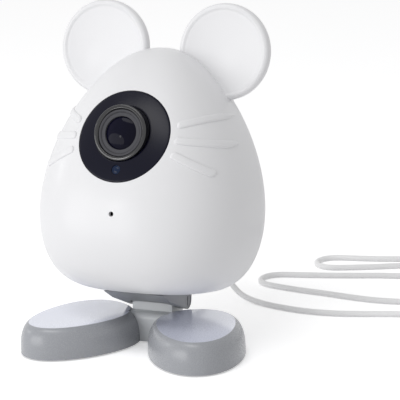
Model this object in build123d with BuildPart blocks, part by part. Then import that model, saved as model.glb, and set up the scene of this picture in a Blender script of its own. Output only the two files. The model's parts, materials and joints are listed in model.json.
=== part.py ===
from build123d import *
from math import cos, pi, radians, sin, sqrt, tan
import os

os.makedirs("parts", exist_ok=True)

# A mouse-shaped camera for watching a pet: an egg-shaped housing with round ears and whiskers,
# which tilts on a stand with two splayed feet. Millimetres, +Z up, the lens looks towards -Y.
# The origin is on the surface that the feet stand on, under the middle of the object.

# Housing pose
lean = 10.8  # degrees that the housing leans back
hinge_y = 11.4
hinge_z = 17.9

# Egg-shaped housing, in its own frame: X right, Y back, Z up along the lean, zero on the hinge
egg_low = 4.6
egg_high = 116.0
egg_side = 49.1  # half width at half height
egg_front = 46.9
egg_rear = 24.05
base_roundness = 0.195
crown_roundness = 0.452
section_power = 2.6
wall = 2.0
seam_y = -5.3
seam_step = 0.35

# Camera window, a disc of the skin whose plane leans further back than the housing
window_radius = 22.0
window_y = -44.6
window_z = 75.9
window_lean = 22.6
window_gap = 0.15
sensor_drop = 16.2
sensor_radius = 2.1
mic_z = 41.9
mic_hole = 1.15

# Lens, in heights along its axis, which leans back less than the window and meets its axis at the glass
lens_lean = 9.2
lens_pivot = 4.3
trim_radius = 12.6
hood_radius = 10.5
barrel_radius = 9.2
glass_radius = 7.5
trim_front = 5.5
hood_front = 4.9
barrel_front = 4.3
ring_back = -2.0
ring_play = 0.05
barrel_back = -13.0
glass_seat = 2.2

# Ears
ear_radius = 22.0
ear_thick = 4.7
ear_x = 30.0
ear_z = 115.2
ear_rim = 2.8
ear_rim_high = 0.5
ear_dish = 1.4
ear_front_round = 2.0
ear_back_round = 1.2

# Whiskers of the right side: inner and outer ends as (x, z) on the skin
whisker_ends = [((25.2, 82.2), (36.5, 86.1)), ((25.6, 75.2), (42.0, 74.2)), ((25.3, 68.7), (39.9, 61.8))]
whisker_tube = 2.0
whisker_sink = 1.2

# Hinge
arm_x = 14.6
tongue_x = 10.0
arm_radius = 3.9
barrel_hinge_radius = 3.3
bolt_radius = 1.95
bolt_play = 0.07
bracket_front = 29.8
bracket_knee = (-20.0, 0.95)  # Y and Z where the bracket's underside bends

# Feet
foot_x = 29.6
foot_y = -13.65
foot_long = 29.9
foot_wide = 21.9
foot_splay = 25.8
foot_high = 14.7
foot_power = 2.16
foot_egg = -0.15  # how much narrower the toe is than the heel
foot_wall = 2.0
foot_round = 5.2
foot_draft = tan(radians(1.5))
pad_high = 1.0
rim_high = 0.6

# Board and rear wall
board_y = -3.4
board_thick = 1.6
port_z = 22.7
card_x = 16.0
button_x = -13.0
speaker_z = 52.0
speaker_back = 15.0
speaker_radius = 14.0
cone_radius = 12.2

# Cord
cord_size = 2.8
floor_lift = 0.05

housing = Plane(
    origin=(0, hinge_y, hinge_z),
    x_dir=(1, 0, 0),
    z_dir=(0, sin(radians(lean)), cos(radians(lean))),
)


def at(x, y, z):
    return housing.from_local_coords(Vector(x, y, z))


def level(z):
    return housing.offset(z)


def facing_back(x, y, z):
    return Plane(origin=at(x, y, z), x_dir=(-1, 0, 0), z_dir=housing.y_dir)


def facing_side(x, y=0, z=0):
    return Plane(origin=at(x, y, z), x_dir=housing.y_dir, z_dir=(1, 0, 0))


# The window's frame: Z out of the window, Y up along it
optic = Plane(
    origin=at(0, window_y, window_z),
    x_dir=(1, 0, 0),
    z_dir=housing.z_dir * sin(radians(window_lean)) - housing.y_dir * cos(radians(window_lean)),
)
lens_out = housing.z_dir * sin(radians(lens_lean)) - housing.y_dir * cos(radians(lens_lean))
lens_place = Plane(
    origin=optic.origin + (optic.z_dir - lens_out) * lens_pivot,
    x_dir=(1, 0, 0),
    z_dir=lens_out,
)


def save(piece, name):
    piece.part.label = name
    export_step(piece.part, f"parts/{name}.step")


def mirrored(piece):
    """The same piece for the other side."""
    with BuildPart() as twin:
        add(mirror(piece.part, about=Plane.YZ), clean=False)
    return twin


# Egg sections. Share runs from -1 at the base to 1 at the crown.


def roundness(share):
    return (1 + share) ** base_roundness * (1 - share) ** crown_roundness


def half_width(share):
    return egg_side * roundness(share) * (1 - 0.027 * share - 0.112 * share**2)


def front_depth(share):
    return egg_front * roundness(share) * (1 - 0.042 * share - 0.026 * share**2)


def rear_depth(share):
    return egg_rear * roundness(share) * (1 + 0.105 * share)


stations = [-0.996, -0.985, -0.955, -0.9, -0.81, -0.67, -0.48, -0.25, 0.0]
stations += [0.25, 0.48, 0.67, 0.81, 0.9, 0.955, 0.985]


def half_section(share, height, forward, inset):
    """Half of the egg's section at one height, closed along the seam."""
    depth = front_depth(share) if forward else rear_depth(share)
    side = half_width(share) * (1 - inset / egg_side)
    depth = depth * (1 - inset / (egg_front if forward else egg_rear))
    way = -1 if forward else 1
    outline = [(side, seam_y)]
    for step in range(1, 12):
        turn = pi * step / 12
        x = side * abs(cos(turn)) ** (2 / section_power)
        y = depth * sin(turn) ** (2 / section_power)
        outline.append((x if turn < pi / 2 else -x, seam_y + way * y))
    outline.append((-side, seam_y))
    with BuildSketch(level(height)) as section:
        with BuildLine():
            Spline(*outline, tangents=((0, way), (0, -way)))
            Line(outline[-1], outline[0])
        make_face()
    return section.sketch


def egg_half(forward, inset):
    """The front or rear half of the egg, smaller by an inset all round."""
    low, high = egg_low + inset, egg_high - inset
    sections = []
    for share in stations:
        height = (low + high) / 2 + share * (high - low) / 2
        sections.append(half_section(share, height, forward, inset))
    with BuildPart() as half:
        loft(sections=[*sections, Vertex(*at(0, seam_y, high))])
    return half.part


def skin_y(x, z):
    """The front skin's Y at a place given by X and Z."""
    share = (z - (egg_low + egg_high) / 2) / ((egg_high - egg_low) / 2)
    across = min(abs(x) / half_width(share), 1)
    return seam_y - front_depth(share) * (1 - across**section_power) ** (1 / section_power)


def skin_point(x, z, sink):
    """A point that lies under the front skin by a depth measured square to it."""
    step = 0.2
    slope_x = (skin_y(x + step, z) - skin_y(x - step, z)) / (2 * step)
    slope_z = (skin_y(x, z + step) - skin_y(x, z - step)) / (2 * step)
    long = sqrt(1 + slope_x**2 + slope_z**2)
    return at(x - sink * slope_x / long, skin_y(x, z) + sink / long, z - sink * slope_z / long)


front_form = egg_half(True, 0)
rear_form = egg_half(False, seam_step)

# Case screws, as (x, z), from the rear shell into posts of the front shell
case_screws = [(34, 28), (-34, 28), (24, 88), (-24, 88)]
case_post = 4.0
case_pilot = 1.3
case_screw_head = 2.5
screw_seat = 4.0
board_screws = [(18, 16), (-18, 16), (18, 76), (-18, 76)]
board_post = 2.6
board_pilot = 0.9
bracket_pilot = 0.9
bracket_screws_at = [(12.5, -9), (-12.5, -9), (12.5, -16), (-12.5, -16)]

with BuildPart() as front_posts:
    for x, z in case_screws:
        with BuildSketch(facing_back(x, seam_y - 60, z)):
            Circle(case_post)
        extrude(amount=60)

with BuildPart() as rear_posts:
    for x, z in case_screws:
        with BuildSketch(facing_back(x, seam_y, z)):
            Circle(case_post + 0.4)
        extrude(amount=40)
    for x, z in board_screws:
        with BuildSketch(facing_back(x, board_y + board_thick, z)):
            Circle(board_post)
        extrude(amount=40)
    with BuildSketch(facing_back(0, speaker_back + 0.5, speaker_z)):
        Circle(speaker_radius)
        Circle(speaker_radius - 1.8, mode=Mode.SUBTRACT)
    extrude(amount=10)

with BuildPart() as front_space:
    add(egg_half(True, wall))
    add(front_posts.part, mode=Mode.SUBTRACT, clean=False)

with BuildPart() as rear_space:
    add(egg_half(False, wall + seam_step))
    add(rear_posts.part, mode=Mode.SUBTRACT, clean=False)

# Ears: each a disc with a raised rim, dished in front, whose lower part the two shells clamp
ear_middle = Plane(origin=at(ear_x, seam_y, ear_z), x_dir=(1, 0, 0), z_dir=housing.z_dir)
with BuildPart() as ear_right:
    with BuildSketch(ear_middle):
        with BuildLine():
            back = ear_thick / 2
            back_edge = ear_radius - ear_back_round
            front_edge = ear_radius - ear_front_round
            dish_radius = ear_radius - ear_rim - 0.7
            dish_edge = ear_rim_high - back
            dish_curve = (dish_radius**2 + ear_dish**2) / (2 * ear_dish)
            Line((0, back), (back_edge, back))
            RadiusArc((back_edge, back), (ear_radius, back - ear_back_round), ear_back_round)
            Line((ear_radius, back - ear_back_round), (ear_radius, ear_front_round - back))
            RadiusArc((ear_radius, ear_front_round - back), (front_edge, -back), ear_front_round)
            Line((front_edge, -back), (ear_radius - ear_rim, -back))
            Line((ear_radius - ear_rim, -back), (dish_radius, dish_edge))
            RadiusArc((dish_radius, dish_edge), (0, dish_edge + ear_dish), -dish_curve)
            Line((0, dish_edge + ear_dish), (0, back))
        make_face()
    revolve(axis=Axis(ear_middle.origin, housing.y_dir))
ear_left = mirrored(ear_right)
save(ear_left, "ear_left")
save(ear_right, "ear_right")

with BuildPart() as whiskers_right:
    for start, end in whisker_ends:
        centre = [(start[k] + end[k]) / 2 for k in (0, 1)]
        points = [skin_point(x, z, whisker_sink) for x, z in (start, centre, end)]
        with BuildLine() as whisker_line:
            ThreePointArc(*points)
        with BuildSketch(Plane(points[0], z_dir=whisker_line.line % 0)):
            Circle(whisker_tube)
        sweep(path=whisker_line.line)
        for tip in (points[0], points[2]):
            with Locations(tip):
                Sphere(whisker_tube)

with BuildPart() as front_openings:
    with BuildSketch(optic.offset(-12)):
        Circle(window_radius)
    extrude(amount=24)
    with BuildSketch(facing_back(0, -60, mic_z)):
        Circle(mic_hole)
    extrude(amount=12)
    for x, z in case_screws:
        with BuildSketch(facing_back(x, seam_y - 14, z)):
            Circle(case_pilot)
        extrude(amount=14)
    with BuildSketch(level(0)):
        with Locations(*bracket_screws_at):
            Circle(bracket_pilot + 0.2)
    extrude(amount=12)
    add(ear_left.part)
    add(ear_right.part)

with BuildPart() as front_shell:
    add(front_form)
    add(whiskers_right.part, clean=False)
    add(mirrored(whiskers_right).part, clean=False)
    add(front_space.part, mode=Mode.SUBTRACT, clean=False)
    add(front_openings.part, mode=Mode.SUBTRACT, clean=False)
save(front_shell, "front_shell")

# Rear shell, with the speaker's grille and the openings for the plug, the card and the button
grille_rings = [(0, 1), (3.3, 6), (6.6, 12), (9.9, 18)]
grille_hole = 0.85
button_radius = 2.0
port_wide = 11.6
port_tall = 8.2
with BuildPart() as rear_openings:
    with BuildSketch(facing_back(0, 12, speaker_z)):
        for radius, count in grille_rings:
            with PolarLocations(radius, count):
                Circle(grille_hole)
    extrude(amount=10)
    with BuildSketch(facing_back(0, 12, port_z)):
        RectangleRounded(port_wide, port_tall, 2)
        with Locations((-card_x, 0)):
            RectangleRounded(12.4, 2.0, 0.9)
        with Locations((-button_x, 0)):
            Circle(button_radius + 0.3)
    extrude(amount=10)
    for x, z in case_screws:
        with BuildSketch(facing_back(x, seam_y, z)):
            Circle(case_pilot + 0.2)
        extrude(amount=40)
        with BuildSketch(facing_back(x, screw_seat, z)):
            Circle(case_screw_head + 0.3)
        extrude(amount=40)
    for x, z in board_screws:
        with BuildSketch(facing_back(x, board_y, z)):
            Circle(board_pilot)
        extrude(amount=9)
    add(ear_left.part)
    add(ear_right.part)

with BuildPart() as rear_shell:
    add(rear_form)
    add(rear_space.part, mode=Mode.SUBTRACT, clean=False)
    add(rear_openings.part, mode=Mode.SUBTRACT, clean=False)
save(rear_shell, "rear_shell")


def screw(plane, head, head_high, shank, long):
    """A pan-head screw that points along the plane's -Z, with its head above the plane."""
    with BuildPart() as fastener:
        with BuildSketch(plane):
            Circle(head)
        extrude(amount=head_high)
        with BuildSketch(plane.offset(head_high)):
            Rectangle(head * 1.1, head * 0.26)
            Rectangle(head * 0.26, head * 1.1)
        extrude(amount=-head_high * 0.5, mode=Mode.SUBTRACT)
        with BuildSketch(plane):
            Circle(shank)
        extrude(amount=-long)
    return fastener.part


with BuildPart() as housing_screws:
    for x, z in case_screws:
        add(screw(facing_back(x, screw_seat, z), case_screw_head, 1.8, case_pilot, 21))
save(housing_screws, "housing_screws")

# Bezel: the black disc of the skin round the lens, with a collar behind it
bezel_radius = window_radius - window_gap
collar_back = -9
collar_wall = 1.2
with BuildPart() as bezel_blank:
    with BuildSketch(optic.offset(collar_back)):
        Circle(bezel_radius)
    extrude(amount=24)
    add(front_form, mode=Mode.INTERSECT)

with BuildPart() as lens_bezel:
    add(bezel_blank.part)
    with BuildSketch(optic.offset(collar_back)):
        Circle(bezel_radius - collar_wall)
    extrude(amount=7.4, mode=Mode.SUBTRACT)
    with BuildSketch(optic.offset(collar_back)):
        Circle(bezel_radius + 1)
        Circle(bezel_radius - collar_wall, mode=Mode.SUBTRACT)
    extrude(amount=4, mode=Mode.SUBTRACT)
    with BuildSketch(optic.offset(collar_back)):
        with Locations((0, -sensor_drop)):
            Circle(sensor_radius + 0.05)
    extrude(amount=24, mode=Mode.SUBTRACT)
    with BuildSketch(lens_place.offset(collar_back)):
        Circle(trim_radius + 0.1)
    extrude(amount=24, mode=Mode.SUBTRACT)
save(lens_bezel, "lens_bezel")

with BuildPart() as light_sensor_window:
    with BuildSketch(optic.offset(-1.6)):
        with Locations((0, -sensor_drop)):
            Circle(sensor_radius)
    extrude(amount=12)
    add(front_form, mode=Mode.INTERSECT)
save(light_sensor_window, "light_sensor_window")

# Lens. Profiles are drawn as (radius, height) on a plane through the axis and turned about it.
lens_half = Plane(origin=lens_place.origin, x_dir=lens_place.x_dir, z_dir=-lens_place.y_dir)
lens_axis = Axis(lens_place.origin, lens_place.z_dir)

with BuildPart() as lens_trim_ring:
    with BuildSketch(lens_half):
        with BuildLine():
            Polyline(
                (hood_radius + ring_play, ring_back),
                (trim_radius, ring_back),
                (trim_radius, trim_front - 1.0),
                (trim_radius - 1.0, trim_front),
                (hood_radius + ring_play + 0.5, trim_front),
                (hood_radius + ring_play, trim_front - 0.6),
                close=True,
            )
        make_face()
    revolve(axis=lens_axis)
save(lens_trim_ring, "lens_trim_ring")

with BuildPart() as lens_hood:
    with BuildSketch(lens_half):
        with BuildLine():
            Polyline(
                (barrel_radius + ring_play, ring_back),
                (hood_radius, ring_back),
                (hood_radius, hood_front - 0.2),
                (hood_radius - 0.3, hood_front),
                (barrel_radius + ring_play + 0.3, hood_front - 0.4),
                (barrel_radius + ring_play, hood_front - 0.6),
                close=True,
            )
        make_face()
    revolve(axis=lens_axis)
save(lens_hood, "lens_hood")

with BuildPart() as lens_barrel:
    with BuildSketch(lens_half):
        with BuildLine():
            Polyline(
                (4.5, barrel_back),
                (barrel_radius, barrel_back),
                (barrel_radius, barrel_front),
                (glass_radius + 0.2, barrel_front),
                (glass_radius, barrel_front - 0.3),
                (glass_radius, glass_seat),
                (6.6, glass_seat),
                (6.6, 1.6),
                (5.8, 1.6),
                (5.8, 0.9),
                (5.0, 0.9),
                (5.0, -3.0),
                (4.5, -3.0),
                close=True,
            )
        make_face()
    revolve(axis=lens_axis)
save(lens_barrel, "lens_barrel")


def lens_element(rim_radius, low, high, front_bulge, rear_bulge):
    """A round lens between two heights, with its faces bulging by the given amounts."""
    with BuildPart() as element:
        with BuildSketch(lens_half):
            with BuildLine():
                Line((0, low - rear_bulge), (0, high + front_bulge))
                front_sag = (rim_radius**2 + front_bulge**2) / (2 * front_bulge)
                RadiusArc((0, high + front_bulge), (rim_radius, high), front_sag)
                Line((rim_radius, high), (rim_radius, low))
                rear_sag = (rim_radius**2 + rear_bulge**2) / (2 * rear_bulge)
                RadiusArc((rim_radius, low), (0, low - rear_bulge), rear_sag)
            make_face()
        revolve(axis=lens_axis)
    return element


save(lens_element(glass_radius, glass_seat + 0.2, 3.3, 1.5, 0.4), "front_lens")
save(lens_element(5.0, -2.4, -0.9, 0.9, 0.5), "middle_lens")
save(lens_element(4.5, -11.8, -10.6, 0.3, 0.7), "rear_lens")

# Lens holder on the camera board, with the slide for the infrared filter
holder_wide = 29.0
holder_tall = 20.0
holder_front = -10.0
holder_back = -21.0
slide_front = -14.0
slide_back = -16.6
frame_tall = 10.4
with BuildPart() as lens_holder:
    with BuildSketch(lens_place.offset(holder_back)):
        RectangleRounded(holder_wide, holder_tall, 2)
    extrude(amount=holder_front - holder_back)
    with BuildSketch(lens_place.offset(barrel_back)):
        Circle(barrel_radius)
    extrude(amount=10, mode=Mode.SUBTRACT)
    with BuildSketch(lens_place.offset(slide_back)):
        Rectangle(24.4, frame_tall + 0.6)
    extrude(amount=slide_front - slide_back, mode=Mode.SUBTRACT)
    with BuildSketch(lens_place.offset(-15)):
        Circle(4.0)
    extrude(amount=4, mode=Mode.SUBTRACT)
    with BuildSketch(lens_place.offset(holder_back)):
        Rectangle(9.4, 8.4)
    extrude(amount=5, mode=Mode.SUBTRACT)
save(lens_holder, "lens_holder")

filter_travel = 7.2
frame_middle = filter_travel / 2
pane_wide = 5.6
pane_tall = 6.4
with BuildPart() as ir_filter_frame:
    with BuildSketch(lens_place.offset(-16.2)):
        with Locations((frame_middle, 0)):
            Rectangle(16.4, frame_tall)
        with Locations((0, 0), (filter_travel, 0)):
            Rectangle(pane_wide, pane_tall, mode=Mode.SUBTRACT)
    extrude(amount=1.8)
save(ir_filter_frame, "ir_filter_frame")

for name, x in (("ir_cut_glass", 0), ("clear_glass", filter_travel)):
    with BuildPart() as pane:
        with BuildSketch(lens_place.offset(-15.7)):
            with Locations((x, 0)):
                Rectangle(pane_wide, pane_tall)
        extrude(amount=0.6)
    save(pane, name)

with BuildPart() as camera_board:
    with BuildSketch(lens_place.offset(holder_back - 1.6)):
        RectangleRounded(34, 26, 1.5)
    extrude(amount=1.6)
save(camera_board, "camera_board")

with BuildPart() as image_sensor:
    with BuildSketch(lens_place.offset(holder_back)):
        Rectangle(8.4, 7.4)
    extrude(amount=0.9)
save(image_sensor, "image_sensor")

# Infrared lamps on a ring board behind the bezel, and the light sensor under its window
lamp_board = -6.8
lamp_board_thick = 1.2
lamp_radius = 1.5
barrel_rise = (lens_pivot - lamp_board) * tan(radians(window_lean - lens_lean))
with BuildPart() as lamp_ring_board:
    with BuildSketch(optic.offset(lamp_board)):
        Circle(19.6)
        with Locations((0, barrel_rise)):
            Circle(barrel_radius + 0.9, mode=Mode.SUBTRACT)
    extrude(amount=lamp_board_thick)
save(lamp_ring_board, "lamp_ring_board")

with BuildPart() as infrared_lamps:
    for turn in (35, 90, 145, 215, 325):
        x, y = 15.6 * cos(radians(turn)), 15.6 * sin(radians(turn))
        place = optic.from_local_coords(Vector(x, y, lamp_board + lamp_board_thick))
        with BuildSketch(Plane(place, optic.x_dir, optic.z_dir)):
            Circle(lamp_radius)
        extrude(amount=1.6)
        with Locations(place + optic.z_dir * 1.6):
            Sphere(lamp_radius)
save(infrared_lamps, "infrared_lamps")

with BuildPart() as light_sensor:
    with BuildSketch(optic.offset(lamp_board + lamp_board_thick)):
        with Locations((0, -sensor_drop)):
            Rectangle(2.6, 2.0)
    extrude(amount=1.2)
save(light_sensor, "light_sensor")

# Microphone behind its hole
mic_y = skin_y(0, mic_z) + wall + 0.5
with BuildPart() as microphone_gasket:
    with BuildSketch(facing_back(0, mic_y, mic_z)):
        Circle(3.4)
        Circle(mic_hole + 0.05, mode=Mode.SUBTRACT)
    extrude(amount=1.4)
save(microphone_gasket, "microphone_gasket")

with BuildPart() as microphone:
    with BuildSketch(facing_back(0, mic_y + 1.4, mic_z)):
        Circle(3.0)
    extrude(amount=2.4)
save(microphone, "microphone")

# Main board and what stands on it
board_back = board_y + board_thick
switch_high = 3.4
with BuildPart() as main_board:
    with BuildSketch(facing_back(0, board_y, 46)):
        RectangleRounded(44, 68, 2)
        with Locations((18, 30), (-18, 30), (18, -30), (-18, -30)):
            Circle(board_pilot, mode=Mode.SUBTRACT)
    extrude(amount=board_thick)
save(main_board, "main_board")

with BuildPart() as board_screws_group:
    for x, z in board_screws:
        forward = Plane(origin=at(x, board_y, z), x_dir=(1, 0, 0), z_dir=-housing.y_dir)
        add(screw(forward, 1.7, 1.2, board_pilot, 8))
save(board_screws_group, "board_screws")


def chip(name, x, z, wide, tall, high, behind=True):
    """A component on the main board, on its rear or front face."""
    with BuildPart() as component:
        with BuildSketch(facing_back(x, board_back if behind else board_y - high, z)):
            RectangleRounded(wide, tall, 0.3)
        extrude(amount=high)
    save(component, name)


chip("processor", 0, 62, 14, 14, 1.2, behind=False)
chip("memory_chip", -13, 46, 8, 10, 1.0, behind=False)
chip("radio_shield", 8, 42, 20, 14, 2.2, behind=False)
chip("reset_switch", button_x, port_z, 6.2, 6.2, switch_high)

with BuildPart() as capacitors:
    for x, z in ((-16, 62), (-9, 70), (14, 50), (-15, 36), (10, 34)):
        with BuildSketch(facing_back(x, board_back, z)):
            Circle(2.2)
        extrude(amount=5.0)
save(capacitors, "capacitors")

with BuildPart() as usb_socket:
    with BuildSketch(facing_back(0, board_back, port_z)):
        RectangleRounded(8.2, 3.4, 0.6)
    extrude(amount=5.6)
    with BuildSketch(facing_back(0, board_back + 0.6, port_z)):
        RectangleRounded(7.0, 2.0, 0.4)
    extrude(amount=6, mode=Mode.SUBTRACT)
save(usb_socket, "usb_socket")

card_long = 15.0
card_back = 16.3
with BuildPart() as card_socket:
    with BuildSketch(facing_back(card_x, board_back, port_z)):
        Rectangle(13.6, 2.6)
    extrude(amount=13.2)
    with BuildSketch(facing_back(card_x, board_back + 1.0, port_z)):
        Rectangle(11.3, 1.1)
    extrude(amount=14, mode=Mode.SUBTRACT)
save(card_socket, "card_socket")

with BuildPart() as memory_card:
    with BuildSketch(facing_back(card_x, card_back - card_long, port_z)):
        Rectangle(11.0, 0.8)
    extrude(amount=card_long)
save(memory_card, "memory_card")

button_travel = 0.6
with BuildPart() as reset_button:
    with BuildSketch(facing_back(button_x, board_back + switch_high + button_travel + 0.1, port_z)):
        Circle(button_radius)
    extrude(amount=15.2)
save(reset_button, "reset_button")

with BuildPart() as antenna:
    with BuildSketch(facing_back(0, board_y + 0.5, 86)):
        Rectangle(30, 12)
    extrude(amount=0.6)
save(antenna, "antenna")

# Speaker behind the grille
with BuildPart() as speaker:
    with BuildSketch(facing_back(0, speaker_back - 3.2, speaker_z)):
        Circle(speaker_radius)
        Circle(cone_radius, mode=Mode.SUBTRACT)
    extrude(amount=3.2)
    with BuildSketch(facing_back(0, speaker_back - 6.2, speaker_z)):
        Circle(8)
    extrude(amount=3.0)
    with BuildSketch(facing_back(0, speaker_back - 3.4, speaker_z)):
        Circle(cone_radius + 0.2)
    extrude(amount=0.8)
save(speaker, "speaker")

with BuildPart() as speaker_cone:
    with BuildSketch(facing_back(0, speaker_back - 2.6, speaker_z)):
        Circle(cone_radius)
    extrude(amount=0.5)
    with BuildSketch(facing_back(0, speaker_back - 2.1, speaker_z)):
        Circle(5.5)
    extrude(amount=1.4, taper=25)
save(speaker_cone, "speaker_cone")

with BuildPart() as speaker_gasket:
    with BuildSketch(facing_back(0, speaker_back, speaker_z)):
        Circle(speaker_radius)
        Circle(cone_radius, mode=Mode.SUBTRACT)
    extrude(amount=0.5)
save(speaker_gasket, "speaker_gasket")

# Bracket under the housing: a wedge with two arms that hold the hinge bolt
plate_top = egg_low + 0.22
slot_top = barrel_hinge_radius + 0.4
slot_front = -14.0
head_radius = 3.0
head_deep = 1.4
nut_flats = 5.4
with BuildPart() as stand_bracket:
    with BuildSketch(facing_side(-arm_x)):
        with BuildLine():
            CenterArc((0, 0), arm_radius, 0, 360)
            Polyline(bracket_knee, (-bracket_front, plate_top), (arm_radius, plate_top))
        make_hull()
    extrude(amount=2 * arm_x)
    with BuildSketch(level(-12)):
        with Locations((0, slot_front / 2 + 10)):
            RectangleRounded(2 * tongue_x + 0.8, 20 - slot_front, 5)
    extrude(amount=12 + slot_top, mode=Mode.SUBTRACT)
    with BuildSketch(facing_side(-arm_x - 1)):
        Circle(bolt_radius + 0.03)
    extrude(amount=2 * arm_x + 2, mode=Mode.SUBTRACT)
    with BuildSketch(facing_side(arm_x - head_deep)):
        Circle(head_radius + 0.1)
    extrude(amount=5, mode=Mode.SUBTRACT)
    with BuildSketch(facing_side(-arm_x - 5)):
        RegularPolygon(nut_flats / 2, 6, major_radius=False)
    extrude(amount=5 + 2.2, mode=Mode.SUBTRACT)
    for x, y in bracket_screws_at:
        with BuildSketch(level(plate_top)):
            with Locations((x, y)):
                Circle(bracket_pilot)
        extrude(amount=-3.2, mode=Mode.SUBTRACT)
save(stand_bracket, "stand_bracket")

with BuildPart() as bracket_screws:
    for x, y in bracket_screws_at:
        floor_z = egg_low + wall + 0.23
        seat = Plane(origin=at(x, y, floor_z), x_dir=(1, 0, 0), z_dir=housing.z_dir)
        add(screw(seat, 1.8, 1.2, bracket_pilot, floor_z - plate_top + 3.0))
save(bracket_screws, "bracket_screws")

with BuildPart() as hinge_bolt:
    with BuildSketch(facing_side(arm_x - head_deep)):
        Circle(head_radius)
    extrude(amount=head_deep - 0.2)
    with BuildSketch(facing_side(arm_x - 0.2)):
        Rectangle(0.8, 4.6)
    extrude(amount=-0.7, mode=Mode.SUBTRACT)
    with BuildSketch(facing_side(arm_x - head_deep)):
        Circle(bolt_radius)
    extrude(amount=-(2 * arm_x - head_deep - 0.3))
save(hinge_bolt, "hinge_bolt")

with BuildPart() as hinge_nut:
    with BuildSketch(facing_side(-arm_x + 0.2)):
        RegularPolygon(nut_flats / 2 - 0.05, 6, major_radius=False)
        Circle(bolt_radius, mode=Mode.SUBTRACT)
    extrude(amount=1.95)
save(hinge_nut, "hinge_nut")

with BuildPart() as friction_washers:
    for x in (-tongue_x - 0.37, tongue_x + 0.03):
        with BuildSketch(facing_side(x)):
            Circle(barrel_hinge_radius)
            Circle(bolt_radius + 0.3, mode=Mode.SUBTRACT)
        extrude(amount=0.34)
save(friction_washers, "friction_washers")

# Stand: base block with its tongue, between the two feet
block_front = -2.25
block_back = 15.2
block_low = 0.8
block_top = 14.2
tongue_front = 3.35
plate_low = pad_high
plate_high = pad_high + 1.6
bridge_y = 6.6
bridge_long = 10.0
base_screw_pilot = 1.2
block_screw_x = 5.0
with BuildPart() as stand_block:
    with BuildSketch(Plane.YZ.offset(-tongue_x)):
        with BuildLine():
            Polyline((block_front, block_low), (block_front, block_top - 3))
            JernArc((block_front, block_top - 3), (0, 1), 3, -90)
            Polyline(
                (block_front + 3, block_top),
                (tongue_front, block_top),
                (tongue_front, 19.2),
                (hinge_y - 1.0, hinge_z + barrel_hinge_radius - 0.1),
            )
            Line((hinge_y - 1.0, hinge_z + barrel_hinge_radius - 0.1), (block_back, hinge_z - 3))
            Polyline((block_back, hinge_z - 3), (block_back, block_low), (block_front, block_low))
        make_face()
        with Locations((hinge_y, hinge_z)):
            Circle(barrel_hinge_radius)
    extrude(amount=2 * tongue_x)
    with BuildSketch(Plane.YZ.offset(-tongue_x - 1)):
        with Locations((hinge_y, hinge_z)):
            Circle(bolt_radius + bolt_play)
    extrude(amount=2 * tongue_x + 2, mode=Mode.SUBTRACT)
    with BuildSketch(Plane.XY):
        with Locations((0, bridge_y)):
            Rectangle(40, bridge_long + 0.4)
    extrude(amount=plate_high + 0.1, mode=Mode.SUBTRACT)
    with BuildSketch(Plane.XY.offset(plate_high)):
        with Locations((-block_screw_x, bridge_y), (block_screw_x, bridge_y)):
            Circle(base_screw_pilot)
    extrude(amount=7, mode=Mode.SUBTRACT)
save(stand_block, "stand_block")


def foot_outline(inset):
    """The right foot's egg-shaped outline, smaller by an inset all round."""
    long, wide = foot_long - inset, foot_wide - inset
    splay = radians(foot_splay)
    points = []
    for step in range(24):
        turn = 2 * pi * step / 24
        c, s = cos(turn), sin(turn)
        along = long * (abs(s) ** (2 / foot_power)) * (1 if s > 0 else -1)
        across = wide * (abs(c) ** (2 / foot_power)) * (1 if c > 0 else -1)
        across *= 1 + foot_egg * along / long
        x = foot_x + across * cos(splay) + along * sin(splay)
        y = foot_y + across * sin(splay) - along * cos(splay)
        points.append((x, y))
    return Spline(*points, periodic=True, mode=Mode.PRIVATE)


def foot_section(height, inset):
    with BuildSketch(Plane.XY.offset(height)) as section:
        with BuildLine():
            add(foot_outline(inset))
        make_face()
    return section.sketch


def foot_solid(levels):
    """A solid through sections given as (height, inset)."""
    with BuildPart() as solid:
        loft(sections=[foot_section(height, inset) for height, inset in levels])
    return solid.part


def foot_point(along):
    """A point on the right foot's long axis, measured from its middle towards the toe."""
    splay = radians(foot_splay)
    return (foot_x + along * sin(splay), foot_y - along * cos(splay))


round_start = foot_high - foot_round
outer_levels = []
for step in range(9):
    height = rim_high + step * (round_start - rim_high) / 9
    outer_levels.append((height, foot_draft * height))
for step in range(7):
    turn = radians(15 * step)
    edge = foot_draft * round_start + foot_round * (1 - cos(turn))
    outer_levels.append((round_start + foot_round * sin(turn), edge))
inner_levels = [(0, foot_wall), (round_start, foot_wall + foot_draft * round_start)]
screw_spots = (-12, 12)
pad_spots = (-19, 19)
pad_radius = 5.0
block_middle = (block_front + block_back) / 2
block_long = block_back - block_front
foot_boss = 3.2
weight_high = 6.0
screw_level = plate_low + 0.9
# A wide shallow bowl dishes the top of the foot
bowl_half = (50, 75, 20)
bowl_deep = 0.9
bowl_place = Plane(
    origin=(*foot_point(0), foot_high + bowl_half[2] - bowl_deep),
    x_dir=(cos(radians(foot_splay)), sin(radians(foot_splay)), 0),
)
bowl = bowl_place.location * scale(Sphere(1, mode=Mode.PRIVATE), by=bowl_half)

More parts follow.
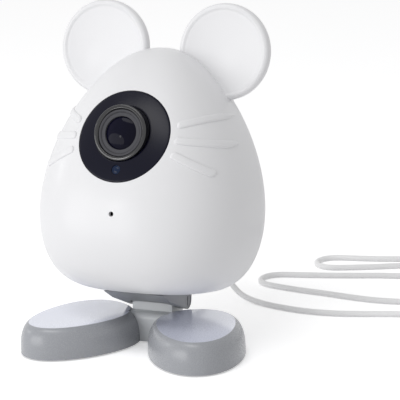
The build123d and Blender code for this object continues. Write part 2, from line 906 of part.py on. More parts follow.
with BuildPart() as foot_right:
    add(foot_solid(outer_levels))
    add(bowl, mode=Mode.SUBTRACT)
    add(foot_solid(inner_levels), mode=Mode.SUBTRACT)
    with BuildSketch(Plane.XY.offset(plate_high)):
        with Locations(*[foot_point(along) for along in screw_spots]):
            Circle(foot_boss)
    extrude(amount=foot_high - plate_high - 2.5)
    with BuildSketch(Plane.XY.offset(plate_high)):
        with Locations(*[foot_point(along) for along in screw_spots]):
            Circle(base_screw_pilot)
    extrude(amount=7, mode=Mode.SUBTRACT)
    with BuildSketch(Plane.XY):
        with Locations((0, block_middle)):
            Rectangle(2 * tongue_x + 0.3, block_long + 0.3)
    extrude(amount=40, mode=Mode.SUBTRACT)
    with BuildSketch(Plane.XY):
        with Locations((0, bridge_y)):
            Rectangle(40, bridge_long + 0.4)
    extrude(amount=plate_high + 0.1, mode=Mode.SUBTRACT)

with BuildPart() as foot_weight_right:
    with BuildSketch(Plane.XY.offset(plate_high)):
        add(foot_section(0, foot_wall + 2.0))
        with Locations(*[foot_point(along) for along in screw_spots]):
            Circle(foot_boss + 0.3, mode=Mode.SUBTRACT)
        with Locations((0, block_middle)):
            Rectangle(2 * tongue_x + 1, block_long + 1, mode=Mode.SUBTRACT)
    extrude(amount=weight_high)

with BuildPart() as plate_right:
    with BuildSketch(Plane.XY.offset(plate_low)):
        add(foot_section(0, foot_wall + 0.5))
    extrude(amount=plate_high - plate_low)

with BuildPart() as base_plate:
    add(plate_right.part)
    add(mirrored(plate_right).part)
    with BuildSketch(Plane.XY):
        with Locations((0, block_middle)):
            Rectangle(2 * tongue_x + 0.3, block_long + 0.3)
    extrude(amount=10, mode=Mode.SUBTRACT)
    with BuildSketch(Plane.XY.offset(plate_low)):
        with Locations((0, bridge_y)):
            Rectangle(30, bridge_long)
    extrude(amount=plate_high - plate_low)
    for side in (-1, 1):
        spots = [(side * x, y) for x, y in [foot_point(along) for along in screw_spots]]
        spots.append((side * block_screw_x, bridge_y))
        with BuildSketch(Plane.XY.offset(plate_low)):
            with Locations(*spots):
                Circle(2.4)
        extrude(amount=screw_level - plate_low, mode=Mode.SUBTRACT)
        with BuildSketch(Plane.XY.offset(plate_low)):
            with Locations(*spots):
                Circle(base_screw_pilot + 0.1)
        extrude(amount=plate_high - plate_low, mode=Mode.SUBTRACT)

with BuildPart() as foot_screws:
    for side in (-1, 1):
        spots = [(side * x, y) for x, y in [foot_point(along) for along in screw_spots]]
        spots.append((side * block_screw_x, bridge_y))
        for x, y in spots:
            downward = Plane(origin=(x, y, screw_level), x_dir=(1, 0, 0), z_dir=(0, 0, -1))
            add(screw(downward, 2.3, 0.85, base_screw_pilot, 7))

with BuildPart() as rubber_pads:
    for side in (-1, 1):
        with BuildSketch(Plane.XY):
            with Locations(*[(side * x, y) for x, y in [foot_point(along) for along in pad_spots]]):
                Circle(pad_radius)
        extrude(amount=pad_high)

save(foot_right, "foot_right")
save(mirrored(foot_right), "foot_left")
save(foot_weight_right, "foot_weight_right")
save(mirrored(foot_weight_right), "foot_weight_left")
save(base_plate, "base_plate")
save(foot_screws, "foot_screws")
save(rubber_pads, "rubber_pads")

# Plug in the rear of the housing, with its tapered strain relief
grip_start = board_back + 5.9
grip_end = 26.0
relief_end = 46.0
plug_nose = board_back + 1.2
with BuildPart() as micro_plug:
    with BuildSketch(facing_back(0, grip_start, port_z)):
        RectangleRounded(10.6, 7.2, 1.8)
    extrude(amount=grip_end - grip_start)
    with BuildSketch(facing_back(0, plug_nose, port_z)):
        RectangleRounded(6.8, 1.8, 0.35)
    extrude(amount=grip_start - plug_nose)
save(micro_plug, "micro_plug")

with BuildPart() as strain_relief:
    with BuildSketch(facing_back(0, grip_end, port_z)):
        Circle(3.0)
    with BuildSketch(facing_back(0, relief_end, port_z)):
        Circle(cord_size / 2 + 0.35)
    loft()
    for step in range(5):
        with BuildSketch(facing_back(0, grip_end + 3 + 3.2 * step, port_z)):
            Circle(5)
            Circle(2.1 - 0.09 * step, mode=Mode.SUBTRACT)
        extrude(amount=1.2, mode=Mode.SUBTRACT)
save(strain_relief, "strain_relief")


# Cord


def corner_radii(points):
    """The largest arc radius that each corner of a route allows."""
    radii = []
    for before, here, after in zip(points, points[1:], points[2:]):
        run_in, run_out = here - before, after - here
        turn = radians(run_in.get_angle(run_out))
        radii.append(0.45 * min(run_in.length, run_out.length) / tan(turn / 2))
    return radii


def tube(points):
    """A round tube along straight runs and tangent arcs."""
    with BuildPart() as made:
        with BuildLine() as path:
            FilletPolyline(*points, radius=corner_radii(points))
        with BuildSketch(Plane(points[0], z_dir=points[1] - points[0])):
            Circle(cord_size / 2)
        sweep(path=path.wire())
    length = path.wire().length
    print("tube", round(length, 1), "mm, volume over section", round(made.part.volume / length, 3))
    print("corner radii", [round(radius, 1) for radius in corner_radii(points)])
    return made


rest_z = cord_size / 2 + floor_lift
coil_x = 122.0
coil_y = 146.6
coil_low = rest_z + 0.85
coil_pitch = 3.4
coil_outer = 22.3
coil_in_turns = 4.0
coil_out_turns = 4.25
coil_entry = Vector(coil_x - cord_size, coil_y + coil_outer, coil_low)

cord_start = at(0, relief_end, port_z)
route = [cord_start, cord_start + housing.y_dir * 9]
# Down behind the housing to the surface
route += [Vector(*p) for p in ((1.2, 75.8, 24.6), (3.4, 78.9, 15.6), (7.4, 78.2, 7.4), (14.6, 75, 2.4))]
# The first stretch to the right, and round at its end
first_stretch = [(25.6, 69.5), (40, 64.6), (54.6, 62.3), (69, 63.2), (83, 67), (95, 70.7), (104.4, 72.5)]
first_turn = [(109.0, 78.8), (108.2, 86.5), (102.2, 91.4)]
# Back to the first loop behind the object
second_stretch = [(91, 90.8), (78.5, 89.4), (64, 91.2), (50, 94), (38, 95.4), (26.8, 97.8)]
first_loop = [(15.8, 100.6), (11.3, 106.4), (11.3, 113.6), (15.8, 119.2)]
third_stretch = [(26.5, 121.2), (39, 124), (53, 127.8), (65.5, 131.8), (77, 134), (86.0, 136)]
second_turn = [(91.4, 141.7), (91.6, 149.5), (86.4, 155.3), (78.6, 155.8)]
# The second loop, and on to the coil
fourth_stretch = [(67.5, 151), (56.5, 145.6), (46, 141.4)]
second_loop = [(37, 138.2), (30.2, 140.4), (26.5, 146.4), (27.5, 153.4), (32.8, 158.1)]
fifth_stretch = [(43, 159.2), (55.5, 161.4), (68, 165), (80.5, 167.8), (93.5, 169.5)]
lying = first_stretch + first_turn + second_stretch + first_loop + third_stretch
lying += second_turn + fourth_stretch + second_loop + fifth_stretch
route += [Vector(x, y, rest_z) for x, y in lying]
route += [Vector(107.0, coil_entry.Y, coil_low), coil_entry]
cord_run = tube(route)
save(cord_run, "cord_run")


def coil_point(turns):
    """A point of the coil after some turns from its start, wound clockwise from above."""
    if turns <= coil_in_turns:
        radius = coil_outer - coil_pitch * turns
    else:
        radius = coil_outer - coil_pitch * (2 * coil_in_turns - turns)
    climb = min(max((turns - coil_in_turns + 0.25) / 0.5, 0), 1)
    angle = pi / 2 - 2 * pi * turns
    height = coil_low + coil_pitch * (1 - cos(pi * climb)) / 2
    return Vector(coil_x + radius * cos(angle), coil_y + radius * sin(angle), height)


def coil_heading(turns):
    if turns == 0:
        return Vector(1, 0, 0)
    if turns == coil_in_turns + coil_out_turns:
        return Vector(0, -1, 0)
    return (coil_point(turns + 0.01) - coil_point(turns - 0.01)).normalized()


def biarc(start, start_way, end, end_way):
    """Two arcs that leave and arrive in the given directions and meet in one tangent."""
    chord = end - start
    both = chord.dot(start_way + end_way)
    open_share = 2 * (1 - start_way.dot(end_way))
    if open_share < 1e-6:
        reach = chord.length / 4 if abs(both) < 1e-9 else chord.dot(chord) / (2 * both)
    else:
        reach = (-both + sqrt(both**2 + open_share * chord.dot(chord))) / open_share
    first_knee, second_knee = start + start_way * reach, end - end_way * reach
    joint = (first_knee + second_knee) * 0.5
    TangentArc(start, joint, tangent=start_way)
    TangentArc(joint, end, tangent=(second_knee - first_knee).normalized())


coil_steps = round(4 * (coil_in_turns + coil_out_turns))
plug_axis_z = 4.4
with BuildPart() as cord_coil:
    with BuildLine() as coil_path:
        Line(coil_entry, coil_point(0))
        for step in range(coil_steps):
            a, b = step / 4, (step + 1) / 4
            biarc(coil_point(a), coil_heading(a), coil_point(b), coil_heading(b))
        coil_end = coil_point(coil_steps / 4)
        tail_end = Vector(coil_end.X, coil_end.Y - 20, plug_axis_z)
        biarc(coil_end, Vector(0, -1, 0), tail_end, Vector(0, -1, 0))
        plug_end = tail_end + Vector(0, -cord_size, 0)
        Line(tail_end, plug_end)
    with BuildSketch(Plane(coil_entry, z_dir=(1, 0, 0))):
        Circle(cord_size / 2)
    sweep(path=coil_path.wire())
save(cord_coil, "cord_coil")
coil_length = coil_path.wire().length
print("coil", round(coil_length, 1), "mm, volume over section", round(cord_coil.part.volume / coil_length, 3))

marks = int(coil_length / 1.4)
spots = [coil_path.wire() @ (n / marks) for n in range(marks + 1)]
least = min(
    (spots[a] - spots[b]).length for a in range(len(spots)) for b in range(a + 6, len(spots))
)
print("least gap of the coil to itself", round(least - cord_size, 2))

# Tie round the coil's turns, at its side away from the plug
tie_thick = 0.7
tie_wide = 8.0
tie_play = 0.1
tie_low = coil_low - cord_size / 2 - tie_play - tie_thick
tie_high = coil_low + coil_pitch + cord_size / 2 + tie_play + tie_thick
tie_in = coil_outer - coil_pitch * coil_in_turns - cord_size / 2 - 0.5 - tie_thick
tie_out = coil_outer + 1.3 + cord_size / 2 + tie_play + tie_thick
with BuildPart() as cord_tie:
    with BuildSketch(Plane(origin=(coil_x, coil_y - tie_wide / 2, 0), x_dir=(-1, 0, 0), z_dir=(0, 1, 0))):
        with Locations(((tie_in + tie_out) / 2, (tie_low + tie_high) / 2)):
            RectangleRounded(tie_out - tie_in, tie_high - tie_low, 2.2)
            inner_wide, inner_tall = tie_out - tie_in - 2 * tie_thick, tie_high - tie_low - 2 * tie_thick
            RectangleRounded(inner_wide, inner_tall, 1.5, mode=Mode.SUBTRACT)
    extrude(amount=tie_wide)
save(cord_tie, "cord_tie")

# Plug on the far end
plug_face = Plane(origin=plug_end, x_dir=(-1, 0, 0), z_dir=(0, -1, 0))
relief_long = 8.0
body_long = 21.0
body_radius = 2.4
shell_wide, shell_tall = 12.0, 4.5
shell_sheet = 0.3
with BuildPart() as usb_plug_relief:
    with BuildSketch(plug_face):
        Circle(cord_size / 2 + 0.4)
    with BuildSketch(plug_face.offset(relief_long)):
        Circle(2.6)
    loft()
save(usb_plug_relief, "usb_plug_relief")

with BuildPart() as usb_plug_body:
    with BuildSketch(plug_face.offset(relief_long)):
        RectangleRounded(15.6, 8.4, body_radius)
    extrude(amount=body_long)
save(usb_plug_body, "usb_plug_body")

with BuildPart() as usb_plug:
    with BuildSketch(plug_face.offset(relief_long + body_long)):
        RectangleRounded(shell_wide, shell_tall, 0.5)
        RectangleRounded(shell_wide - 2 * shell_sheet, shell_tall - 2 * shell_sheet, 0.3, mode=Mode.SUBTRACT)
    extrude(amount=13.6)
    with BuildSketch(plug_face.offset(relief_long + body_long)):
        with Locations((0, 1.0)):
            Rectangle(11.2, 1.9)
    extrude(amount=12.6)
save(usb_plug, "usb_plug")
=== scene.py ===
import json
from math import atan2, cos, pi, radians, sin, sqrt, tan

import bmesh
import bpy
import numpy as np
from mathutils import Matrix, Vector


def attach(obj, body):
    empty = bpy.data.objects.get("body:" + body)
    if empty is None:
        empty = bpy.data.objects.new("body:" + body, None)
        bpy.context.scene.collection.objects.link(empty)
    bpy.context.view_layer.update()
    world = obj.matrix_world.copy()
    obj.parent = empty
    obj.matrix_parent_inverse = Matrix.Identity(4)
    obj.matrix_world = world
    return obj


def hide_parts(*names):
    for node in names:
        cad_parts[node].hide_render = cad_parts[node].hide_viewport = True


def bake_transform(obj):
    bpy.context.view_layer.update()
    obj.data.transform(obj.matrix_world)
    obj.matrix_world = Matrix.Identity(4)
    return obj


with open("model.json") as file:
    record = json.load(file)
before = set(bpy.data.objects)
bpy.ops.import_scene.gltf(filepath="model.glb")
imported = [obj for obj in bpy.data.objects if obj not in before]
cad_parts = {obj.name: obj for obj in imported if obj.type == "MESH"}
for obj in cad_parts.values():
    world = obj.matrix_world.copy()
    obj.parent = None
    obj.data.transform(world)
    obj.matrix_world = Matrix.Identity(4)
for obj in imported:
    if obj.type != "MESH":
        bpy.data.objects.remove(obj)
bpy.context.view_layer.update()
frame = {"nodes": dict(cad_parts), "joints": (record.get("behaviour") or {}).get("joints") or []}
mm = 0.001
inMillimetres = Matrix.Scale(mm, 4)
print("frame loaded")

# The housing has its own millimetres, from the tilt joint, and leans back by this angle.
lean = radians(10.8)
tilt = next(joint for joint in frame["joints"] if joint["name"] == "tilt")
housing = Matrix.Translation(Vector(tilt["pos_m"])) @ Matrix.Rotation(-lean, 4, "X") @ inMillimetres


def at(x, y, z):  # a place on the housing, in its own millimetres
    return housing @ Vector((x, y, z))


def facing(x, y, z, forward):  # a frame on the housing whose Z looks forward or back
    turn = Matrix.Rotation(radians(90 if forward else -90), 4, "X")
    return housing @ Matrix.Translation((x, y, z)) @ turn


def outward(tip):  # out of the housing's front, tipped back by an angle
    return Vector((0, -cos(tip), sin(tip)))


def upward(tip):
    return Vector((0, sin(tip), cos(tip)))


def tippedFrame(origin, tip):  # Z outward and Y upward, at a place on the housing
    out, up = outward(tip), upward(tip)
    turn = Matrix(((1, 0, 0, 0), (0, up.y, out.y, 0), (0, up.z, out.z, 0), (0, 0, 0, 1)))
    return Matrix.Translation(origin) @ turn


# The lens leans back less than its window, and their axes meet at the front of the barrel.
windowPlace = {"middle": Vector((0, -44.6, 75.9)), "tip": radians(22.6)}
lensPlace = {"tip": radians(9.2), "pivot": 4.3}
windowOut, windowUp = outward(windowPlace["tip"]), upward(windowPlace["tip"])
optic = tippedFrame(windowPlace["middle"], windowPlace["tip"])
lensMiddle = windowPlace["middle"] + (windowOut - outward(lensPlace["tip"])) * lensPlace["pivot"]
lensFrame = housing @ tippedFrame(lensMiddle, lensPlace["tip"])

# Camera

view = {
    "azimuth": radians(24.06),
    "height": radians(13.69),
    "roll": radians(-2.03),
    "target": Vector((0.0336, -0.01365, 0.07294)),
    "distance": 0.9498,
    "lens": 193.5,
}


def link(name, data):
    made = bpy.data.objects.new(name, data)
    bpy.context.scene.collection.objects.link(made)
    return made


def makeCamera():
    azimuth, height, roll = view["azimuth"], view["height"], view["roll"]
    back = Vector((sin(azimuth) * cos(height), -cos(azimuth) * cos(height), sin(height)))
    right = Vector((cos(azimuth), sin(azimuth), 0))
    up = back.cross(right)
    turnedRight = right * cos(roll) + up * sin(roll)
    turnedUp = up * cos(roll) - right * sin(roll)
    data = bpy.data.cameras.new("camera")
    data.lens = view["lens"]
    data.sensor_width = 36
    data.sensor_fit = "HORIZONTAL"
    data.clip_start = 0.01
    place = view["target"] + back * view["distance"]
    rows = [[turnedRight[k], turnedUp[k], back[k], place[k]] for k in range(3)]
    camera = link("camera", data)
    camera.matrix_world = Matrix(rows + [[0, 0, 0, 1]])
    bpy.context.scene.camera = camera


makeCamera()

# Mesh helpers. Profiles and outlines are in millimetres, and the place of a piece turns them into metres.


def finished(name, mesh, smooth):  # the mesh as a piece, smooth where it bends less than so many degrees
    mesh.name = name
    mesh.shade_smooth()
    mesh.set_sharp_from_angle(angle=radians(smooth))
    return link(name, mesh)


def meshOf(name, bm):
    mesh = bpy.data.meshes.new(name)
    bm.to_mesh(mesh)
    bm.free()
    return mesh


def fromBmesh(name, bm, smooth, place):
    bmesh.ops.remove_doubles(bm, verts=bm.verts, dist=1e-4)
    bmesh.ops.recalc_face_normals(bm, faces=bm.faces)
    mesh = meshOf(name, bm)
    mesh.transform(place)
    return finished(name, mesh, smooth)


def applied(piece, name, smooth):  # the piece with its modifiers made real
    graph = bpy.context.evaluated_depsgraph_get()
    mesh = bpy.data.meshes.new_from_object(piece.evaluated_get(graph))
    bpy.data.objects.remove(piece)
    return finished(name, mesh, smooth)


def cutBy(piece, cutters, smooth):
    for cutter in cutters:
        change = piece.modifiers.new("cut", "BOOLEAN")
        change.operation = "DIFFERENCE"
        change.solver = "EXACT"
        change.object = cutter
    made = applied(piece, piece.name, smooth)
    for cutter in cutters:
        bpy.data.objects.remove(cutter)
    return made


def turnsOf(steps):  # angles spaced evenly round a circle
    return [2 * pi * k / steps for k in range(steps)]


def squarer(value, power):  # a sine or cosine, for an outline that is squarer than a circle
    return np.copysign(np.abs(value) ** (2 / power), value)


def joinRings(bm, rings, closed=False):  # faces from each ring to the next, where a ring may be one point
    steps = max(len(ring) for ring in rings)
    for low, high in zip(rings, rings[1:] + rings[:1] if closed else rings[1:]):
        for k in range(steps):
            corners = [low[k % len(low)], low[(k + 1) % len(low)]]
            corners += [high[(k + 1) % len(high)], high[k % len(high)]]
            corners = list(dict.fromkeys(corners))
            if len(corners) > 2:
                bm.faces.new(corners)


def lathe(name, profile, place, steps, smooth=35):  # profile as (radius, height)
    bm = bmesh.new()
    rings = []
    for radius, height in profile:
        turns = turnsOf(steps if radius > 1e-6 else 1)
        rings.append([bm.verts.new((radius * cos(turn), radius * sin(turn), height)) for turn in turns])
    joinRings(bm, rings, True)
    return fromBmesh(name, bm, smooth, place)


def cylinderCutter(radius, place, low, high, steps):
    return lathe("cutter", [(0, low), (radius, low), (radius, high), (0, high)], place, steps)


def box(wide, tall):
    x, y = wide / 2, tall / 2
    return [(-x, -y), (x, -y), (x, y), (-x, y)]


def prismCutter(outline, place, low, high):
    bm = bmesh.new()
    floor, roof = ([bm.verts.new((x, y, z)) for x, y in outline] for z in (low, high))
    bm.faces.new(floor[::-1])
    bm.faces.new(roof)
    joinRings(bm, [floor, roof])
    return fromBmesh("cutter", bm, 30, place)


def rounded(points, radii, steps=6):  # a profile whose corners are arcs of the given radii
    out = []
    count = len(points)
    for k, (point, radius) in enumerate(zip(points, radii)):
        here = Vector(point)
        before, after = Vector(points[k - 1]), Vector(points[(k + 1) % count])
        if radius <= 0:
            out.append(tuple(here))
            continue
        toBefore, toAfter = (before - here).normalized(), (after - here).normalized()
        half = toBefore.angle(toAfter) / 2
        reach = radius * cos(half) / sin(half)
        middle = here + (toBefore + toAfter).normalized() * (radius / sin(half))
        first, last = here + toBefore * reach - middle, here + toAfter * reach - middle
        begin = atan2(first.y, first.x)
        turn = (atan2(last.y, last.x) - begin + pi) % (2 * pi) - pi
        for step in range(steps + 1):
            angle = begin + turn * step / steps
            out.append((middle.x + radius * cos(angle), middle.y + radius * sin(angle)))
    return out


# Cord. Its route repeats the points of the part's source.

cord = {
    "diameter": 2.8 * mm,
    "restHeight": 1.45 * mm,
    "portHeight": 22.7,
    "reliefEnd": 46.0,
    "coilMiddle": (122.0 * mm, 146.6 * mm),
    "coilOuter": 22.3 * mm,
    "coilPitch": 3.4 * mm,
    "coilLow": 2.3 * mm,
    "turnsIn": 4.0,
    "turnsOut": 4.25,
    "stepsPerTurn": 14,
    "plugHeight": 4.4 * mm,
    "sides": 20,
    "exit": 24.0,
    "straight": 9,
    "blendEnd": (0.002, 0.0775, 0.015),
}


def cordRoute():
    start = at(0, cord["reliefEnd"], cord["portHeight"])
    route = [start, start + at(0, cord["straight"], 0) - at(0, 0, 0)]
    for x, y, z in ((1.2, 75.8, 24.6), (3.4, 78.9, 15.6), (7.4, 78.2, 7.4), (14.6, 75, 2.4)):
        route.append(Vector((x, y, z)) * mm)
    firstStretch = [(25.6, 69.5), (40, 64.6), (54.6, 62.3), (69, 63.2), (83, 67), (95, 70.7), (104.4, 72.5)]
    firstTurn = [(109.0, 78.8), (108.2, 86.5), (102.2, 91.4)]
    secondStretch = [(91, 90.8), (78.5, 89.4), (64, 91.2), (50, 94), (38, 95.4), (26.8, 97.8)]
    firstLoop = [(15.8, 100.6), (11.3, 106.4), (11.3, 113.6), (15.8, 119.2)]
    thirdStretch = [(26.5, 121.2), (39, 124), (53, 127.8), (65.5, 131.8), (77, 134), (86.0, 136)]
    secondTurn = [(91.4, 141.7), (91.6, 149.5), (86.4, 155.3), (78.6, 155.8)]
    fourthStretch = [(67.5, 151), (56.5, 145.6), (46, 141.4)]
    secondLoop = [(37, 138.2), (30.2, 140.4), (26.5, 146.4), (27.5, 153.4), (32.8, 158.1)]
    fifthStretch = [(43, 159.2), (55.5, 161.4), (68, 165), (80.5, 167.8), (93.5, 169.5)]
    lying = firstStretch + firstTurn + secondStretch + firstLoop + thirdStretch
    lying += secondTurn + fourthStretch + secondLoop + fifthStretch
    for x, y in lying:
        route.append(Vector((x * mm, y * mm, cord["restHeight"])))
    middleX, middleY = cord["coilMiddle"]
    top = middleY + cord["coilOuter"]
    route.append(Vector((107.0 * mm, top, cord["coilLow"])))
    route.append(Vector((middleX - cord["diameter"], top, cord["coilLow"])))
    return route


def coilPoint(turns):
    inward = turns if turns <= cord["turnsIn"] else 2 * cord["turnsIn"] - turns
    radius = cord["coilOuter"] - cord["coilPitch"] * inward
    climb = min(max((turns - cord["turnsIn"] + 0.25) / 0.5, 0), 1)  # half a turn, onto the second layer
    angle = pi / 2 - 2 * pi * turns
    height = cord["coilLow"] + cord["coilPitch"] * (1 - cos(pi * climb)) / 2
    middleX, middleY = cord["coilMiddle"]
    return Vector((middleX + radius * cos(angle), middleY + radius * sin(angle), height))


def coilTurns():  # the coil, and the last stretch down to the plug
    total = cord["turnsIn"] + cord["turnsOut"]
    steps = round(total * cord["stepsPerTurn"])
    points = [coilPoint(total * k / steps) for k in range(1, steps + 1)]
    end = points[-1]
    points.append(end + Vector((0, -7 * mm, 0)))
    points += [Vector((end.x, end.y - gone * mm, cord["plugHeight"])) for gone in (14, 20, 22.8)]
    return points


def splineLine(name, points, resolution=6):  # the points of a NURBS line through a route
    curve = bpy.data.curves.new(name, "CURVE")
    curve.dimensions = "3D"
    spline = curve.splines.new("NURBS")
    spline.points.add(len(points) - 1)
    for point, place in zip(spline.points, points):
        point.co = (*place, 1)
    spline.order_u = 3
    spline.use_endpoint_u = True
    spline.resolution_u = resolution
    carrier = link(name, curve)
    bpy.context.view_layer.update()
    mesh = bpy.data.meshes.new_from_object(carrier)
    line = [vertex.co.copy() for vertex in mesh.vertices]
    bpy.data.objects.remove(carrier)
    return line


def tubeMesh(name, line, radius, sides):  # a tube along the line, whose UV map holds the length in metres
    bm = bmesh.new()
    across = bm.loops.layers.uv.new("along")
    side = (line[1] - line[0]).normalized().orthogonal().normalized()
    rings, lengths, gone = [], [], 0.0
    for k, point in enumerate(line):
        ahead = line[min(k + 1, len(line) - 1)] - line[max(k - 1, 0)]
        ahead.normalize()
        side = (side - ahead * side.dot(ahead)).normalized()
        other = ahead.cross(side)
        if k:
            gone += (point - line[k - 1]).length
        lengths.append(gone)
        spokes = [side * cos(turn) + other * sin(turn) for turn in turnsOf(sides)]
        rings.append([bm.verts.new(point + spoke * radius) for spoke in spokes])
    for k in range(len(rings) - 1):
        for step in range(sides):
            following = (step + 1) % sides
            corners = (rings[k][step], rings[k][following], rings[k + 1][following], rings[k + 1][step])
            marks = ((step, k), (step + 1, k), (step + 1, k + 1), (step, k + 1))
            for loop, (around, along) in zip(bm.faces.new(corners).loops, marks):
                loop[across].uv = (around / sides, lengths[along])
    bm.faces.new(rings[0][::-1])
    bm.faces.new(rings[-1])
    bmesh.ops.recalc_face_normals(bm, faces=bm.faces)
    return finished(name, meshOf(name, bm), 50), gone


cordLine = splineLine("cordLine", cordRoute() + coilTurns())
powerCord, cordLength = tubeMesh("powerCord", cordLine, cord["diameter"] / 2, cord["sides"])
print("cord", round(cordLength, 3), "m,", len(powerCord.data.polygons), "faces")

# Materials. Every finish varies a little over the surface, in colour, gloss and relief.


def treeNode(tree, kind, settings=None, values=None):  # a node's outputs, with its sockets set or linked
    made = tree.nodes.new(kind)
    for name, value in (settings or {}).items():
        setattr(made, name, value)
    for name, value in (values or {}).items():
        if isinstance(value, bpy.types.NodeSocket):
            tree.links.new(value, made.inputs[name])
        else:
            made.inputs[name].default_value = value
    return made.outputs


class Shade:  # one shader socket, with plus, minus and times
    def __init__(self, tree, socket=None):
        self.tree = tree
        self.socket = socket

    def node(self, kind, settings=None, values=None, output=0):
        values = {name: getattr(value, "socket", value) for name, value in (values or {}).items()}
        return Shade(self.tree, treeNode(self.tree, "ShaderNode" + kind, settings, values)[output])

    def surface(self, kind="Object"):
        return self.node("TexCoord", None, None, kind)

    def math(self, operation, first, second):
        return self.node("Math", {"operation": operation}, {0: first, 1: second})

    def mix(self, share, first, second):
        tones = [value if isinstance(value, Shade) else (*value, 1) for value in (first, second)]
        return self.node("Mix", {"data_type": "RGBA"}, {0: share, 6: tones[0], 7: tones[1]}, 2)

    def noise(self, scale, detail=2.0, rough=0.5):
        values = {"Vector": self.surface(), "Scale": scale, "Detail": detail, "Roughness": rough}
        return self.node("TexNoise", None, values)

    def bump(self, height, strength, distance):
        return self.node("Bump", None, {"Height": height, "Strength": strength, "Distance": distance})

    def ramp(self, value, low, high):  # 0 below low, 1 above high
        return self.node("MapRange", {"interpolation_type": "SMOOTHSTEP"}, {0: value, 1: low, 2: high})

    def __add__(self, other):
        return self.math("ADD", self, other)

    def __radd__(self, other):
        return self.math("ADD", other, self)

    def __sub__(self, other):
        return self.math("SUBTRACT", self, other)

    def __mul__(self, other):
        return self.math("MULTIPLY", self, other)


def startMaterial(name, fixed):  # a material whose unvarying values sit on the shader's own sockets
    made = bpy.data.materials.new(name)
    made.use_nodes = True
    shader = made.node_tree.nodes["Principled BSDF"]
    for socket, value in fixed.items():
        shader.inputs[socket].default_value = value
    return made, shader, Shade(made.node_tree)


def feed(shader, **sources):
    for name, source in sources.items():
        shader.id_data.links.new(source.socket, shader.inputs[name.replace("_", " ")])


usualLook = {"broad": 18.0, "fine": 900.0, "shift": 0.955, "roughFine": 0.06, "specular": 0.5, "coat": {}}


def moulded(name, look):  # plastic or rubber: two tones, uneven gloss and a fine relief
    look = {**usualLook, **look}
    made, shader, tool = startMaterial(name, {"Specular IOR Level": look["specular"], **look["coat"]})
    broad = tool.noise(look["broad"])
    fine = tool.noise(look["fine"], 3.0)
    tint = [channel * look["shift"] for channel in look["colour"]]
    colour = tool.mix(tool.ramp(broad, 0.32, 0.68), look["colour"], tint)
    rough = look["rough"] + (broad - 0.5) * 0.05 + (fine - 0.5) * look["roughFine"]
    if "paintedSheenColour" in look:  # what faces up is polished, and paler and bluer through a painted sheen, a painted reflection of the bright surroundings
        facingUp = tool.node("SeparateXYZ", None, {0: tool.surface("Normal")}, "Z")
        polishAndPaintedSheen = tool.ramp(facingUp, 0.92, 0.98)
        # painted sheen: the upward faces take a paler, bluer colour
        colour = tool.mix(polishAndPaintedSheen, colour, look["paintedSheenColour"])
        feed(shader, Coat_Weight=polishAndPaintedSheen)
    feed(shader, Base_Color=colour, Roughness=rough, Normal=tool.bump(fine, look["relief"], 0.0001))
    return made


def turnedMetal(name, look):  # steel with fine turning marks and a few darker patches
    made, shader, tool = startMaterial(name, {"Metallic": 1.0})
    broad = tool.noise(160.0, 3.0)
    grain = tool.noise(1400.0, 4.0, 0.6)
    tint = [channel * 0.82 for channel in look["colour"]]
    colour = tool.mix(tool.ramp(broad, 0.35, 0.7), look["colour"], tint)
    feed(shader, Base_Color=colour, Roughness=look["rough"] + (grain - 0.5) * 0.16)
    feed(shader, Normal=tool.bump(grain, 0.15, 0.00005))
    return made


def coatedGlass(name, look):  # clear or dark glass, with a coating whose tint turns towards the rim
    made, shader, tool = startMaterial(name, {"Transmission Weight": look["clear"], "IOR": look["bend"]})
    broad = tool.noise(220.0)
    rimShare = tool.node("LayerWeight", None, {"Blend": 0.35}, "Facing")
    colour = tool.mix(rimShare, look["middle"], look["rim"])
    feed(shader, Base_Color=colour, Roughness=look["rough"] + broad * 0.02)
    return made


def softVinyl(name, look):  # smooth, and faintly uneven along the cord
    made, shader, tool = startMaterial(name, {"Specular IOR Level": 0.4})
    along = tool.node("SeparateXYZ", None, {0: tool.surface("UV")}, "Y")
    waves = {}
    for pace, scale in (("slow", 60.0), ("quick", 900.0)):
        values = {"W": along, "Scale": scale, "Detail": 2.0}
        waves[pace] = tool.node("TexNoise", {"noise_dimensions": "1D"}, values)
    tint = [channel * 0.95 for channel in look["colour"]]
    feed(shader, Base_Color=tool.mix(waves["slow"], look["colour"], tint))
    feed(shader, Roughness=look["rough"] + (waves["slow"] - 0.5) * 0.12)
    feed(shader, Normal=tool.bump(waves["quick"], 0.06, 0.0001))
    return made


